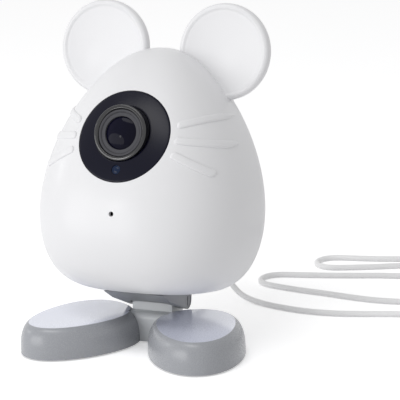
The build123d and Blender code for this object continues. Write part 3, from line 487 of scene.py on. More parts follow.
plastics = {
    "shellWhite": {
        "colour": (0.80, 0.80, 0.815),
        "rough": 0.36,
        "broad": 12.0,
        "shift": 0.985,
        "relief": 0.02,
        "specular": 0.35,
        "coat": {"Coat Weight": 0.12, "Coat Roughness": 0.15},
    },
    "windowBlack": {
        "colour": (0.0014, 0.0016, 0.0098),
        "rough": 0.26,
        "roughFine": 0.02,
        "relief": 0.01,
        "specular": 0.17,
    },
    "trimBlack": {
        "colour": (0.006, 0.006, 0.008),
        "rough": 0.12,
        "roughFine": 0.02,
        "relief": 0.01,
        "specular": 0.7,
    },
    "ringGrey": {"colour": (0.066, 0.066, 0.074), "rough": 0.55, "relief": 0.12, "specular": 0.2},
    "barrelBlack": {"colour": (0.006, 0.006, 0.008), "rough": 0.5, "relief": 0.12, "specular": 0.2},
    "standGrey": {
        "colour": (0.345, 0.355, 0.38),
        # painted sheen: the tops' paler, bluer colour is a painted reflection of the bright surroundings
        "paintedSheenColour": (0.72, 0.75, 0.88),
        "rough": 0.27,
        "fine": 2600.0,
        "relief": 0.02,
        "coat": {"Coat IOR": 2.1, "Coat Roughness": 0.12},
    },
    # painted light: the block's grey is made paler than the feet's, to make up for the shade that the housing
    # casts on it
    "blockGrey": {"colour": (0.66, 0.68, 0.7), "rough": 0.35, "relief": 0.04},
    "hingeGrey": {"colour": (0.265, 0.272, 0.29), "rough": 0.42, "relief": 0.1},
    "rubber": {"colour": (0.055, 0.055, 0.058), "rough": 0.75, "relief": 0.3},
    "padDark": {"colour": (0.03, 0.03, 0.032), "rough": 0.7, "relief": 0.3},
    "board": {"colour": (0.012, 0.085, 0.04), "rough": 0.4, "relief": 0.1},
    "component": {"colour": (0.018, 0.018, 0.02), "rough": 0.5, "relief": 0.2},
    "sensorBlue": {"colour": (0.008, 0.018, 0.05), "rough": 0.1, "relief": 0.01, "specular": 0.14},
}
metals = {
    "steel": {"colour": (0.56, 0.56, 0.58), "rough": 0.32},
    "weight": {"colour": (0.22, 0.22, 0.23), "rough": 0.55},
    "shield": {"colour": (0.62, 0.62, 0.6), "rough": 0.38},
}
glasses = {
    "lensGlass": {
        "clear": 0.0,
        "bend": 1.15,
        "rough": 0.03,
        "middle": (0.005, 0.005, 0.012),
        "rim": (0.008, 0.007, 0.03),
    },
    "innerGlass": {
        "clear": 0.0,
        "bend": 1.2,
        "rough": 0.05,
        "middle": (0.006, 0.006, 0.012),
        "rim": (0.01, 0.009, 0.025),
    },
    "filterGlass": {
        "clear": 0.8,
        "bend": 1.5,
        "rough": 0.02,
        "middle": (0.4, 0.75, 0.7),
        "rim": (0.3, 0.6, 0.6),
    },
}
vinyls = {"cordWhite": {"colour": (0.97, 0.97, 0.975), "rough": 0.42}}

materials = {}
families = ((moulded, plastics), (turnedMetal, metals), (coatedGlass, glasses), (softVinyl, vinyls))
for makeFinish, looks in families:
    for name, look in looks.items():
        materials[name] = makeFinish(name, look)
print("materials", len(materials))


def settle(piece, body, material, slotName, *nodes):  # material, body, finish slot (not used) and the nodes replaced
    piece.data.materials.clear()
    piece.data.materials.append(materials[material])
    if body:
        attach(piece, body)
    if nodes:
        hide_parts(*nodes)
    return piece


# Geometry node trees


def startTree(name, inputs):  # inputs as {label: (socket kind, value)}
    tree = bpy.data.node_groups.new(name, "GeometryNodeTree")
    for way in ("INPUT", "OUTPUT"):
        tree.interface.new_socket("Geometry", in_out=way, socket_type="NodeSocketGeometry")
    for label, (kind, value) in inputs.items():
        socket = tree.interface.new_socket(label, in_out="INPUT", socket_type="NodeSocket" + kind)
        if value is not None:
            socket.default_value = value
    return tree, tree.nodes.new("NodeGroupInput").outputs


def endTree(tree, geometry, material):
    real = treeNode(tree, "GeometryNodeRealizeInstances", None, {"Geometry": geometry})
    finish = treeNode(tree, "GeometryNodeSetMaterial", None, {"Geometry": real[0], "Material": material})
    end = tree.nodes.new("NodeGroupOutput")
    tree.links.new(finish[0], end.inputs[0])
    return tree


def grow(name, tree, values, points=(), facings=(), smooth=30):
    # The plain mesh that a tree makes from points and the ways that they face
    seeds = bpy.data.meshes.new(name + "Seeds")
    seeds.from_pydata([tuple(point) for point in points], [], [])
    if facings:
        turned = seeds.attributes.new("facing", "FLOAT_VECTOR", "POINT")
        turned.data.foreach_set("vector", [channel for way in facings for channel in way])
    carrier = link(name + "Seeds", seeds)
    change = carrier.modifiers.new("grow", "NODES")
    change.node_group = tree
    for item in tree.interface.items_tree:
        if item.in_out == "INPUT" and item.name in values:
            change[item.identifier] = values[item.name]
    bpy.context.view_layer.update()
    return applied(carrier, name, smooth)


def scatterTree(name, material):  # copies of one piece, each turned to face its point's way
    tree, start = startTree(name, {"Piece": ("Object", None), "Size": ("Float", 1.0)})
    piece = treeNode(tree, "GeometryNodeObjectInfo", None, {"Object": start["Piece"]})
    way = treeNode(tree, "GeometryNodeInputNamedAttribute", {"data_type": "FLOAT_VECTOR"}, {"Name": "facing"})
    turn = treeNode(tree, "FunctionNodeAlignRotationToVector", {"axis": "Z"}, {"Vector": way[0]})
    values = {"Points": start["Geometry"], "Instance": piece["Geometry"]}
    values |= {"Rotation": turn[0], "Scale": start["Size"]}
    copies = treeNode(tree, "GeometryNodeInstanceOnPoints", None, values)
    return endTree(tree, copies[0], material)


grille = {
    "sizes": {"Hole radius": 0.85 * mm, "Ring step": 3.3 * mm, "Depth": 12 * mm},
    "counts": [1, 6, 12, 18],
    "sides": 20,
    "place": (0, 17.5, 52.0),
}


def grilleTree():  # straight bars on rings, which cut the speaker's holes
    inputs = {label: ("Float", size) for label, size in grille["sizes"].items()}
    tree, start = startTree("grilleHoles", inputs)
    values = {"Vertices": grille["sides"], "Radius": start["Hole radius"], "Depth": start["Depth"]}
    bar = treeNode(tree, "GeometryNodeMeshCylinder", None, values)
    joined = tree.nodes.new("GeometryNodeJoinGeometry")
    for k, count in enumerate(grille["counts"]):
        values = {0: start["Ring step"], 1: float(k)}
        reach = treeNode(tree, "ShaderNodeMath", {"operation": "MULTIPLY"}, values)
        if count == 1:
            ring = treeNode(tree, "GeometryNodePoints", None, {"Count": 1})
        else:
            ring = treeNode(tree, "GeometryNodeMeshCircle", None, {"Vertices": count, "Radius": reach[0]})
        values = {"Points": ring[0], "Instance": bar["Mesh"]}
        copies = treeNode(tree, "GeometryNodeInstanceOnPoints", None, values)
        tree.links.new(copies[0], joined.inputs[0])
    return endTree(tree, joined.outputs[0], materials["shellWhite"])


# Housing skin, in the housing's own millimetres. A share runs from -1 at its base to 1 at its crown.

egg = {
    "low": 4.6,
    "high": 116.0,
    "side": 49.1,
    "sideTaper": (0.027, 0.112),
    "front": 46.9,
    "frontTaper": (0.042, 0.026),
    "rear": 24.05,
    "rearTaper": (-0.105, 0),
    "baseRound": 0.195,
    "crownRound": 0.452,
    "power": 2.6,
    "seam": -5.3,
    "wall": 2.0,
    "step": 0.35,
    "edgeSink": 0.22,
    "frontMesh": (112, 128),
    "rearMesh": (90, 100),
}


def tapered(side, share):  # the skin's reach to a side, the front or the rear
    first, second = egg[side + "Taper"]
    roundness = (1 + share) ** egg["baseRound"] * (1 - share) ** egg["crownRound"]
    return egg[side] * roundness * (1 - first * share - second * share**2)


def shareAt(z):
    return (z - (egg["low"] + egg["high"]) / 2) / ((egg["high"] - egg["low"]) / 2)


def section(half, share, inset):  # half the width, and the depth, at one level of the skin moved inwards
    wide = tapered("side", share) * (1 - inset / egg["side"])
    return wide, tapered(half, share) * (1 - inset / egg[half])


def skinY(x, z, half="front", inset=0.0):
    wide, deep = section(half, min(max(shareAt(z), -0.9999), 0.9999), inset)
    across = min(abs(x) / wide, 1)
    way = -1 if half == "front" else 1
    return egg["seam"] + way * deep * (1 - across ** egg["power"]) ** (1 / egg["power"])


def skinNormal(x, z, step=0.05):
    slopeX = (skinY(x + step, z) - skinY(x - step, z)) / (2 * step)
    slopeZ = (skinY(x, z + step) - skinY(x, z - step)) / (2 * step)
    return Vector((slopeX, -1, slopeZ)).normalized()


def evenly(values, x, y, count):  # the values at places spaced evenly along the line through x and y
    gone = np.concatenate([[0], np.cumsum(np.hypot(np.diff(x), np.diff(y)))])
    return list(np.interp(np.linspace(0, gone[-1], count), gone, values))


def evenStations(count, lowest=-0.996, span=1.9958):  # shares spaced evenly along the housing's outline
    dense = lowest + span * (1 - np.cos(np.linspace(0, pi, 3001))) / 2
    return evenly(dense, tapered("side", dense), dense * (egg["high"] - egg["low"]) / 2, count)


def evenTurns(count, wide=49, deep=42):  # angles spaced evenly round half a section
    dense = np.linspace(0, pi, 4001)
    x = wide * squarer(np.cos(dense), egg["power"])
    y = deep * squarer(np.clip(np.sin(dense), 0, 1), egg["power"])
    return evenly(dense, x, y, count)


def skinSheet(bm, half, inset, stations, turns, edgeSink):
    # Faces over half of the skin, with its crown and the middle of its base. It gives the sheet's edge.
    low, high = egg["low"] + inset, egg["high"] - inset
    way = -1 if half == "front" else 1
    rows = []
    for share in stations:
        z = (low + high) / 2 + share * (high - low) / 2
        wide, deep = section(half, share, inset)
        row = []
        for k, turn in enumerate(turns):
            sink = edgeSink if k in (0, len(turns) - 1) else 0
            x = (wide - sink) * squarer(cos(turn), egg["power"])
            y = egg["seam"] + way * deep * squarer(max(sin(turn), 0), egg["power"])
            row.append(bm.verts.new((x, y, z)))
        rows.append(row)
    crown = bm.verts.new((0, egg["seam"], high - edgeSink))
    base = bm.verts.new((0, egg["seam"], rows[0][0].co.z))
    for lower, upper in zip(rows, rows[1:]):
        for k in range(len(turns) - 1):
            bm.faces.new((lower[k], lower[k + 1], upper[k + 1], upper[k]))
    for k in range(len(turns) - 1):
        bm.faces.new((rows[-1][k], rows[-1][k + 1], crown))
        bm.faces.new((rows[0][k + 1], rows[0][k], base))
    return [base] + [row[0] for row in rows] + [crown] + [row[-1] for row in reversed(rows)]


def makeShell(name, half):
    bm = bmesh.new()
    stationCount, turnCount = egg[half + "Mesh"]
    stations, turns = evenStations(stationCount), evenTurns(turnCount)
    narrow = turns[1] * 0.12  # a strip along the parting line, which turns its edge in
    turns = [turns[0], narrow] + turns[1:-1] + [pi - narrow, turns[-1]]
    inset = 0 if half == "front" else egg["step"]
    outer = skinSheet(bm, half, inset, stations, turns, egg["edgeSink"])
    inner = skinSheet(bm, half, inset + egg["wall"], stations, turns, 0)
    joinRings(bm, [outer, inner])
    return fromBmesh(name, bm, 32, housing)


whisker = {
    "ends": [((25.2, 82.2), (36.5, 86.1)), ((25.6, 75.2), (42.0, 74.2)), ((25.3, 68.7), (39.9, 61.8))],
    "halfWidth": 1.65,
    "height": 0.72,
    "deep": 1.2,
    "shares": [0.25, 0.45, 0.6, 0.72, 0.81, 0.88, 0.93, 0.97, 0.99, 1.0, 1.0],
}


def whiskerPoint(start, way, along, across, rise, side):  # a place on a bar, measured on the skin
    x = start[0] + way[0] * along - way[1] * across
    z = start[1] + way[1] * along + way[0] * across
    point = Vector((x, skinY(x, z), z)) + skinNormal(x, z) * rise
    return Vector((side * point.x, point.y, point.z))


def makeWhiskers(rounds=24, stretch=36):  # rings round each bar, from its crest to below the skin
    bm = bmesh.new()
    half, height, shares = whisker["halfWidth"], whisker["height"], whisker["shares"]
    arc = [(cos(pi * k / rounds), sin(pi * k / rounds)) for k in range(1, rounds)]
    for side in (-1, 1):
        for start, end in whisker["ends"]:
            long = sqrt((end[0] - start[0]) ** 2 + (end[1] - start[1]) ** 2)
            way = ((end[0] - start[0]) / long, (end[1] - start[1]) / long)
            places = [long * k / stretch for k in range(stretch + 1)]
            border = [(along, -1, 0) for along in places]
            border += [(long, -cosine, sine) for cosine, sine in arc]
            border += [(along, 1, 0) for along in reversed(places)]
            border += [(0, cosine, -sine) for cosine, sine in arc]
            rings = []
            for step, share in enumerate(shares):
                rise = height * sqrt(max(1 - share**4, 0)) if step < len(shares) - 1 else -whisker["deep"]
                ring = []
                for along, across, past in border:
                    reach = share * half
                    place = whiskerPoint(start, way, along + past * reach, across * reach, rise, side)
                    ring.append(bm.verts.new(place))
                rings.append(ring)
            crest = [whiskerPoint(start, way, along, 0, height, side) for along in places]
            spine = [bm.verts.new(point) for point in crest]
            inner = spine + [spine[-1]] * (rounds - 1) + spine[::-1] + [spine[0]] * (rounds - 1)
            joinRings(bm, [inner] + rings)
            bm.faces.new(rings[-1])
    return fromBmesh("whiskers", bm, 75, housing)


window = {"radius": 22.0, "gap": 0.15, "deep": 2.0, "sensorDrop": 16.2, "sensorRadius": 2.1}
microphoneHole = {"radius": 1.15, "place": (0, -50, 41.9)}
rearOpenings = {
    "y": 12,
    "deep": 14,
    "plugAndCard": [(0, 11.6, 8.2, 2.0), (16, 12.4, 2.0, 0.9)],  # middle, width, height and corner radius
    "button": (-13, 2.3),
}
caseScrews = {
    "places": [(34, 28), (-34, 28), (24, 88), (-24, 88)],
    "head": (2.5, 1.8),
    "seat": 4.0,
    "hole": 2.8,
    "post": 4.4,
    "bore": 1.5,
    "seatWall": 3.4,
}


def makeFrontShell():
    shell = makeShell("frontShell", "front")
    lens = cylinderCutter(window["radius"], housing @ optic, -14, 12, 160)
    microphone = cylinderCutter(microphoneHole["radius"], facing(*microphoneHole["place"], True), -6, 8, 32)
    return cutBy(shell, [lens, microphone], 32)


def makeRearShell():
    shell = makeShell("rearShell", "rear")
    y, deep, portHeight = rearOpenings["y"], rearOpenings["deep"], cord["portHeight"]
    holes = grow("cutter", grilleTree(), grille["sizes"])
    holes.data.transform(facing(*grille["place"], False) @ Matrix.Scale(1 / mm, 4))
    cutters = [holes]
    for x, wide, tall, corner in rearOpenings["plugAndCard"]:
        outline = rounded(box(wide, tall), [corner] * 4)
        cutters.append(prismCutter(outline, facing(x, y, portHeight, False), 0, deep))
    x, radius = rearOpenings["button"]
    cutters.append(cylinderCutter(radius, facing(x, y, portHeight, False), 0, deep, 48))
    for x, z in caseScrews["places"]:
        cutters.append(cylinderCutter(caseScrews["hole"], facing(x, caseScrews["seat"], z, False), 0, 40, 40))
    return cutBy(shell, cutters, 32)


def makeScrewSleeves(steps=40):
    # Round each case screw, from its seat to inside the rear wall. A y of None stands for that wall.
    bm = bmesh.new()
    seat, bore, post, hole = (caseScrews[size] for size in ("seat", "bore", "post", "hole"))
    low, inner = seat - caseScrews["seatWall"], hole + 0.05
    for x, z in caseScrews["places"]:
        rings = []
        for radius, y in ((bore, low), (post, low), (post, None), (inner, None), (inner, seat), (bore, seat)):
            ring = []
            for turn in turnsOf(steps):
                pointX, pointZ = x + radius * cos(turn), z + radius * sin(turn)
                inWall = skinY(pointX, pointZ, "rear", egg["step"]) - 1.0
                ring.append(bm.verts.new((pointX, inWall if y is None else y, pointZ)))
            rings.append(ring)
        joinRings(bm, rings, True)
    return fromBmesh("screwSleeves", bm, 40, housing)


frontShell = makeFrontShell()
print("front shell", len(frontShell.data.polygons), "faces")
rearShell = makeRearShell()
settle(frontShell, "head", "shellWhite", "shell_white", "front_shell")
settle(rearShell, "head", "shellWhite", "shell_white", "rear_shell")
settle(makeWhiskers(), "head", "shellWhite", "shell_white")
settle(makeScrewSleeves(), "head", "shellWhite", "shell_white")
print("rear shell", len(rearShell.data.polygons), "faces")

# Ears

ear = {
    "radius": 22.0,
    "half": 2.35,
    "x": 30.0,
    "z": 115.2,
    "dishRadius": 18.5,
    "dish": 1.4,
    "rimStep": 1.6,
    "rimHigh": 0.5,
    "frontCorner": 2.0,
    "backCorner": 1.2,
}


def makeEar(name, side):
    half, radius, edge, corner = ear["half"], ear["radius"], ear["dishRadius"], ear["frontCorner"]
    profile = []
    for k in range(25):  # the dish
        reach = edge * k / 24
        profile.append((reach, half - ear["rimHigh"] - ear["dish"] * (1 - (reach / edge) ** 2)))
    for k in range(1, 13):  # the soft step up to the rim
        share = k / 12
        height = half - ear["rimHigh"] * (1 - share * share * (3 - 2 * share))
        profile.append((edge + ear["rimStep"] * share, height))
    for k in range(13):  # the rounded corner
        turn = pi * k / 24
        profile.append((radius - corner + corner * sin(turn), half - corner + corner * cos(turn)))
    profile += rounded([(radius, half), (radius, -half), (0, -half)], [0, ear["backCorner"], 0], 8)[1:]
    return lathe(name, profile, facing(side * ear["x"], egg["seam"], ear["z"], True), 192, 40)


settle(makeEar("earRight", 1), "head", "shellWhite", "shell_white", "ear_right")
settle(makeEar("earLeft", -1), "head", "shellWhite", "shell_white", "ear_left")

# Window

lensSizes = {
    "trim": 12.6,
    "trimFront": 5.5,
    "hood": 10.5,
    "hoodFront": 4.9,
    "barrel": 9.2,
    "glass": 7.5,
    "play": 0.05,
}


def skinHeight(x, rise):  # the skin's height over the window's plane
    height = 0.0
    for _ in range(40):
        point = windowPlace["middle"] + rise * windowUp + height * windowOut
        height += 0.9 * (point.y - skinY(x, point.z))
    return height


def skinRings(name, rings, steps=192):  # rings of (radius, depth under the skin, middle, stretch)
    bm = bmesh.new()
    made = []
    for radius, sink, middle, stretch in rings:
        ring = []
        for turn in turnsOf(steps if radius > 0 else 1):
            x, rise = radius * cos(turn), middle + stretch * radius * sin(turn)
            ring.append(bm.verts.new((x, rise, skinHeight(x, rise) - sink)))
        made.append(ring)
    joinRings(bm, made, True)
    return fromBmesh(name, bm, 40, housing @ optic)


def bezelRing(radius, sink, share=0.0):  # share is 1 where the ring follows the lens's axis
    turn = windowPlace["tip"] - lensPlace["tip"]
    height = 1.72 - sink  # the skin beside the lens is 1.72 mm over the window's plane
    return radius, sink, share * (lensPlace["pivot"] - height) * tan(turn), 1 + share * (1 / cos(turn) - 1)


def makeBezel():
    outer, inner, deep = window["radius"] - window["gap"], lensSizes["trim"] + 0.1, window["deep"]
    rings = [bezelRing(inner, 0.3, 1), bezelRing(inner + 0.08, 0.1, 1), bezelRing(inner + 0.28, 0, 1)]
    for k in range(22):
        share = k / 21
        rings.append(bezelRing(inner + 0.9 + (outer - inner - 1.8) * share, 0, 1 - share))
    for inset, sink in ((0.35, 0), (0.15, 0.06), (0.04, 0.18), (0, 0.36), (0, deep)):
        rings.append(bezelRing(outer - inset, sink))
    rings.append(bezelRing(inner, deep, 1))
    bezel = skinRings("bezel", rings)
    drop = Matrix.Translation((0, -window["sensorDrop"], 0))
    hole = cylinderCutter(window["sensorRadius"] + 0.05, housing @ optic @ drop, -8, 12, 48)
    return cutBy(bezel, [hole], 40)


def makeSensorWindow():  # a shallow lens with a groove round it
    profile = [(0, 0.1), (0.6, 0.12), (1.15, 0.2), (1.3, 0.3), (1.42, 0.3), (1.52, 0.16), (1.8, 0.12)]
    profile += [(1.98, 0.2), (2.08, 0.42), (2.1, 1.4), (0, 1.4)]
    rings = [(radius, sink, -window["sensorDrop"], 1.0) for radius, sink in profile]
    return skinRings("sensorWindow", rings, 48)


settle(makeBezel(), "head", "windowBlack", "window_black", "lens_bezel")
settle(makeSensorWindow(), "head", "sensorBlue", "sensor_blue", "light_sensor_window")

# Lens


def dome(rim, base, bulge, steps=24):  # half a lens face as (radius, height), from its middle to its rim
    sphere = (rim**2 + bulge**2) / (2 * abs(bulge))
    way = 1 if bulge > 0 else -1
    points = []
    for k in range(steps + 1):
        radius = rim * k / steps
        points.append((radius, base + bulge - way * (sphere - sqrt(sphere**2 - radius**2))))
    return points


def makeLens():
    trim, hood, barrel, glass = (lensSizes[part] for part in ("trim", "hood", "barrel", "glass"))
    trimFront, hoodFront, play = (lensSizes[size] for size in ("trimFront", "hoodFront", "play"))
    inner = hood + play
    ring = [(inner, -2), (trim, -2), (trim, trimFront), (inner + 0.45, trimFront), (inner, trimFront - 0.7)]
    trimRing = rounded(ring, [0, 0, 0.75, 0.3, 0.2])
    inner = barrel + play
    ring = [(inner, -2), (hood, -2), (hood, hoodFront)]
    ring += [(inner + 0.4, hoodFront - 0.15), (inner, hoodFront - 0.55)]
    hoodRing = rounded(ring, [0, 0, 0.25, 0.3, 0.1])
    ring = [(glass, 2.8), (barrel, 2.8), (barrel, 4.3), (glass + 0.15, 4.3), (glass, 4.1)]
    barrelFront = rounded(ring, [0, 0, 0.12, 0.12, 0.08])
    inside = [(4.5, -13), (barrel, -13), (barrel, 2.75), (glass, 2.75), (glass, 2.2), (6.6, 2.2), (6.6, 1.6)]
    inside += [(5.8, 1.6), (5.8, 0.9), (5.0, 0.9), (5.0, -3.0), (4.5, -3.0)]
    rim = glass - play
    frontGlass = dome(rim, 3.3, 1.5) + [(rim, 2.4)] + dome(rim, 2.4, -0.4)[::-1]
    middleGlass = dome(4.95, -0.9, 0.9) + [(4.95, -2.4)] + dome(4.95, -2.4, -0.5)[::-1]
    for name, profile, steps, smooth, finish, slotName, *nodes in (
        ("trimRing", trimRing, 160, 40, "trimBlack", "trim_grey", "lens_trim_ring"),
        ("hoodRing", hoodRing, 160, 40, "ringGrey", "trim_grey", "lens_hood"),
        ("barrelFront", barrelFront, 160, 40, "ringGrey", "trim_grey"),
        ("lensBarrel", inside, 128, 30, "barrelBlack", "lens_black", "lens_barrel"),
        ("frontGlass", frontGlass, 128, 50, "lensGlass", "lens_glass", "front_lens"),
        ("middleGlass", middleGlass, 96, 50, "innerGlass", "lens_glass", "middle_lens"),
    ):
        points = list(dict.fromkeys(profile))  # a dome's rim is there twice
        settle(lathe(name, points, lensFrame, steps, smooth), "head", finish, slotName, *nodes)


makeLens()
print("lens")

# Feet

foot = {
    "x": 29.6,
    "y": -13.65,
    "long": 29.9,
    "wide": 21.9,
    "splay": radians(25.8),
    "high": 14.7,
    "power": 2.16,
    "toe": -0.15,
    "wall": 2.0,
    "ceiling": 2.9,
    "roundWide": 5.4,
    "roundHigh": 10.5,
    "roundTurn": radians(77),
    "draft": tan(radians(1.5)),
    "rim": 0.6,
    "dish": 0.25,
    "dishWide": 14.8,
    "dishLong": 22.2,
}
block = {"half": 10.0, "front": -2.25, "back": 15.2, "play": 0.15}


def footPoint(turn, inset, share):  # across and along the foot, at a share of the way out
    long, wide = foot["long"] - inset, foot["wide"] - inset
    along = long * squarer(sin(turn), foot["power"])
    across = wide * squarer(cos(turn), foot["power"]) * (1 + foot["toe"] * along / long)
    return across * share, along * share


def footPlace(across, along):  # from the foot's own axes to the right foot's place
    splay = foot["splay"]
    x = foot["x"] + across * cos(splay) + along * sin(splay)
    return x, foot["y"] + across * sin(splay) - along * cos(splay)


def footTop(across, along):
    reach = (across / foot["dishWide"]) ** 2 + (along / foot["dishLong"]) ** 2
    return foot["high"] - foot["dish"] * max(1 - reach, 0) ** 2


def footLevels():
    # Height, inset and share of each ring, from the hollow's ceiling to the top's middle. None is the dish.
    rim, wall, draft, turn = foot["rim"], foot["wall"], foot["draft"], foot["roundTurn"]
    start = foot["high"] - foot["roundHigh"] * sin(turn)
    levels = [(foot["ceiling"], wall), (rim + 0.3, wall), (rim + 0.06, wall - 0.1), (rim, wall - 0.3)]
    levels += [(rim, 0.45), (rim + 0.08, 0.2), (rim + 0.3, draft * (rim + 0.3))]
    for k in range(1, 7):
        z = rim + (start - rim) * k / 6
        levels.append((z, draft * z))
    for k in range(1, 13):
        here = turn * k / 12
        inset = draft * start + foot["roundWide"] * (1 - cos(here))
        levels.append((start + foot["roundHigh"] * sin(here), inset))
    sides = [(z, inset, 1.0) for z, inset in levels]
    return sides + [(None, levels[-1][1], float(share)) for share in np.linspace(1, 0, 26)[1:-1]]


def makeFoot(name, side, steps=144):
    bm = bmesh.new()
    rings = []
    for z, inset, share in footLevels():
        ring = []
        for turn in turnsOf(steps):
            across, along = footPoint(turn, inset, share)
            x, y = footPlace(across, along)
            ring.append(bm.verts.new((side * x, y, footTop(across, along) if z is None else z)))
        rings.append(ring)
    x, y = footPlace(0, 0)
    middle = bm.verts.new((side * x, y, footTop(0, 0)))
    joinRings(bm, rings + [[middle]])
    bm.faces.new(rings[0][::-1])
    piece = fromBmesh(name, bm, 13, inMillimetres)
    reach, play = block["half"] + block["play"], block["play"]
    front, back = block["front"] - play, block["back"] + play
    outline = [(-reach, front), (reach, front), (reach, back), (-reach, back)]
    return cutBy(piece, [prismCutter(outline, inMillimetres, -5, 40)], 13)


settle(makeFoot("footRight", 1), "stand", "standGrey", "stand_grey", "foot_right")
settle(makeFoot("footLeft", -1), "stand", "standGrey", "stand_grey", "foot_left")
print("feet")


def softened(name, node, width, steps=3):  # a copy of a CAD solid with its edges rounded
    bm = bmesh.new()
    bm.from_mesh(frame["nodes"][node].data)
    bmesh.ops.remove_doubles(bm, verts=bm.verts, dist=2e-6)
    flat = {"angle_limit": radians(0.4), "use_dissolve_boundaries": False}
    bmesh.ops.dissolve_limit(bm, verts=bm.verts, edges=bm.edges, **flat)
    piece = link(name, meshOf(name, bm))
    change = piece.modifiers.new("soften", "BEVEL")
    change.width = width * mm
    change.segments = steps
    change.limit_method = "ANGLE"
    change.angle_limit = radians(38)
    change.use_clamp_overlap = True
    return applied(piece, name, 42)


settle(softened("standBlock", "stand_block", 0.5), "stand", "blockGrey", "stand_grey", "stand_block")
settle(softened("bracket", "stand_bracket", 0.45), "head", "hingeGrey", "hinge_grey", "stand_bracket")
print("block and bracket")

# Cord pieces

relief = {
    "bore": 1.42,
    "start": 26.0,
    "end": cord["reliefEnd"],
    "wide": 3.0,
    "narrow": 1.75,
    "grooves": 5,
    "step": 3.2,
    "groove": 1.2,
}


def makeRelief():  # a tapered sleeve with grooves round it
    def radiusAt(y):
        share = (y - relief["start"]) / (relief["end"] - relief["start"])
        return relief["wide"] + (relief["narrow"] - relief["wide"]) * share

    bore, start, end = relief["bore"], relief["start"], relief["end"]
    outline, corners = [(bore, start), (radiusAt(start), start)], [0, 0.3]
    for k in range(relief["grooves"]):
        low = start + 3 + relief["step"] * k
        high = low + relief["groove"]
        deep = 2.1 - 0.09 * k
        outline += [(radiusAt(low), low), (deep, low), (deep, high), (radiusAt(high), high)]
        corners += [0.2, 0.15, 0.15, 0.2]
    outline += [(radiusAt(end), end), (bore, end)]
    corners += [0.2, 0]
    place = facing(0, 0, cord["portHeight"], False)
    return lathe("strainRelief", rounded(outline, corners, 3), place, 48)


def makePlugRelief():
    profile = [(relief["bore"], 0), (1.8, 0), (2.6, 8), (relief["bore"], 8)]
    place = Matrix.Translation(coilTurns()[-1]) @ Matrix.Rotation(radians(90), 4, "X") @ inMillimetres
    return lathe("plugRelief", rounded(profile, [0, 0.25, 0, 0], 4), place, 48)


settle(powerCord, None, "cordWhite", "cord_white", "cord_run", "cord_coil")
withCord = [
    settle(makeRelief(), "head", "cordWhite", "cord_white", "strain_relief"),
    settle(softened("microPlug", "micro_plug", 0.5), "head", "cordWhite", "cord_white", "micro_plug"),
    settle(softened("cordTie", "cord_tie", 0.22), "stand", "padDark", "pad_dark", "cord_tie"),
    settle(makePlugRelief(), "stand", "cordWhite", "cord_white", "usb_plug_relief"),
    settle(
        softened("plugBody", "usb_plug_body", 0.8, 4), "stand", "cordWhite", "cord_white", "usb_plug_body"
    ),
    frame["nodes"]["usb_plug"],
]

# Screws. Heads with a crossed recess, one tree for both sets.

baseScrews = {"head": (2.3, 0.85), "along": (-12, 12), "block": (5.0, 6.6), "seat": 1.9}
recess = {"long": 1.15, "wide": 0.26, "floor": 0.45}  # shares of the head's radius and height


def makeScrewHead(radius, high):
    floor, long, wide = high * recess["floor"], radius * recess["long"], radius * recess["wide"]
    profile = rounded([(0, 0), (radius, 0), (radius, high), (0, high)], [0, 0, floor, 0], 5)
    head = lathe("screwHead", profile, inMillimetres, 32)
    slots = [box(long, wide), box(wide, long)]
    return cutBy(head, [prismCutter(slot, inMillimetres, floor, high * 2) for slot in slots], 35)


screwTree = scatterTree("screws", materials["steel"])


def scatterScrews(name, body, head, places, way, node):
    piece = makeScrewHead(*head)
    made = grow(name, screwTree, {"Piece": piece, "Size": 1.0}, places, [way] * len(places), 35)
    bpy.data.objects.remove(piece)
    settle(made, body, "steel", "steel", node)


backWay = (housing.to_3x3() @ Vector((0, 1, 0))).normalized()
seats = [at(x, caseScrews["seat"], z) for x, z in caseScrews["places"]]
scatterScrews("caseScrews", "head", caseScrews["head"], seats, backWay, "housing_screws")

spots = []
for side in (-1, 1):
    for along in baseScrews["along"]:
        x, y = footPlace(0, along)
        spots.append((side * x, y))
spots += [(side * baseScrews["block"][0], baseScrews["block"][1]) for side in (-1, 1)]
seats = [Vector((x, y, baseScrews["seat"])) * mm for x, y in spots]
scatterScrews("baseScrews", "stand", baseScrews["head"], seats, Vector((0, 0, -1)), "foot_screws")
print("screws")

# Finishes of the pieces that keep their CAD shapes
keptFinishes = {
    "barrelBlack": ["lens_holder", "lamp_ring_board", "microphone_gasket", "speaker_gasket"],
    "innerGlass": ["rear_lens"],
    "filterGlass": ["ir_cut_glass", "clear_glass"],
    "board": ["camera_board", "main_board", "antenna"],
    "component": [
        *("processor", "memory_chip", "reset_switch", "capacitors", "image_sensor", "infrared_lamps"),
        *("light_sensor", "ir_filter_frame", "memory_card", "microphone", "speaker_cone"),
    ],
    "shield": ["radio_shield", "usb_socket", "card_socket"],
    "steel": ["board_screws", "bracket_screws", "hinge_nut", "friction_washers", "usb_plug"],
    "weight": ["foot_weight_left", "foot_weight_right", "speaker"],
    "rubber": ["rubber_pads"],
    "standGrey": ["base_plate"],
    "hingeGrey": ["reset_button", "hinge_bolt"],
}
for material, nodes in keptFinishes.items():
    for node in nodes:
        for place in frame["nodes"][node].material_slots:
            place.material = materials[material]

# Cord: its route's first point is worked out again, unused, and its place is baked into its mesh
tuple(cordRoute()[0])
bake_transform(powerCord)

# Floor, light and world

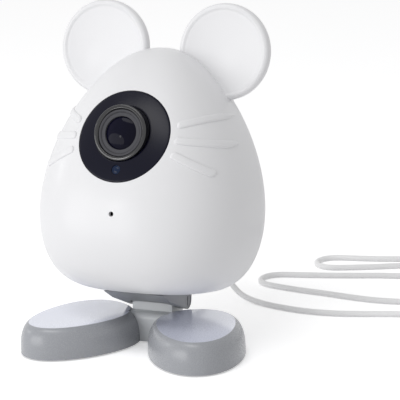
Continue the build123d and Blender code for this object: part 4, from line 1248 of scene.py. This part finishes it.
studio = {
    "floorReach": 6.0,
    "floorTone": (0.97, 0.97, 0.975),
    "floorGlow": 0.4,
    "ambient": 0.53,
    "target": Vector((0, 0, 0.07)),
    "lamps": {
        "key": {"power": 7.5, "size": (1.3, 0.8), "place": (-0.85, -1.15, 0.2)},
        "window": {"power": 2.5, "size": (0.75, 0.26), "place": (-0.11, -0.47, 0.965)},
        "sideSpark": {"power": 0.32, "size": (0.16, 0.16), "place": (-1.05, -0.11, 0.37)},
        "frontSpark": {"power": 0.3, "size": (0.11, 0.11), "place": (-0.43, -0.96, 0.39)},
    },
}


def addLamp(name, look):
    data = bpy.data.lights.new(name, "AREA")
    data.shape = "ELLIPSE"
    data.size, data.size_y = look["size"]
    data.energy = look["power"]
    lamp = link(name, data)
    lamp.location = look["place"]
    lamp.rotation_euler = (studio["target"] - Vector(look["place"])).to_track_quat("-Z", "Y").to_euler()


rayKinds = ("Camera", "Glossy", "Transmission")


def seenShare(tool):  # 1 for rays from the camera, and for what mirrors and glass show of them
    rays = treeNode(tool.tree, "ShaderNodeLightPath")
    camera, glossy, through = (Shade(tool.tree, rays[f"Is {kind} Ray"]) for kind in rayKinds)
    return tool.math("MINIMUM", camera + glossy + through, 1.0)


def makeFloor():
    mesh = bpy.data.meshes.new("floor")
    corners = [(x, y, 0) for x, y in box(2 * studio["floorReach"], 2 * studio["floorReach"])]
    mesh.from_pydata(corners, [], [(0, 1, 2, 3)])
    floor = link("floor", mesh)
    made, shader, tool = startMaterial("floor", {"Roughness": 1.0, "Specular IOR Level": 0.0})
    tint = [0.99 * channel for channel in studio["floorTone"]]
    tone = tool.mix(tool.noise(30.0), studio["floorTone"], tint)
    glow = tool.mix(seenShare(tool), (0.0, 0.0, 0.0), (1.0, 1.0, 1.0))
    feed(shader, Base_Color=tone, Emission_Color=glow)
    shader.inputs["Emission Strength"].default_value = studio["floorGlow"]
    mesh.materials.append(made)


def makeWorld():
    world = bpy.data.worlds.new("studio")
    world.use_nodes = True
    bpy.context.scene.world = world
    tool = Shade(world.node_tree)
    ground = world.node_tree.nodes["Background"]
    strength = studio["ambient"] + seenShare(tool) * (1 - studio["ambient"])
    ground.inputs["Color"].default_value = (1, 1, 1, 1)
    world.node_tree.links.new(strength.socket, ground.inputs["Strength"])


makeFloor()
makeWorld()
for name, look in studio["lamps"].items():
    addLamp(name, look)
bpy.context.scene.view_settings.view_transform = "Standard"
print("studio")
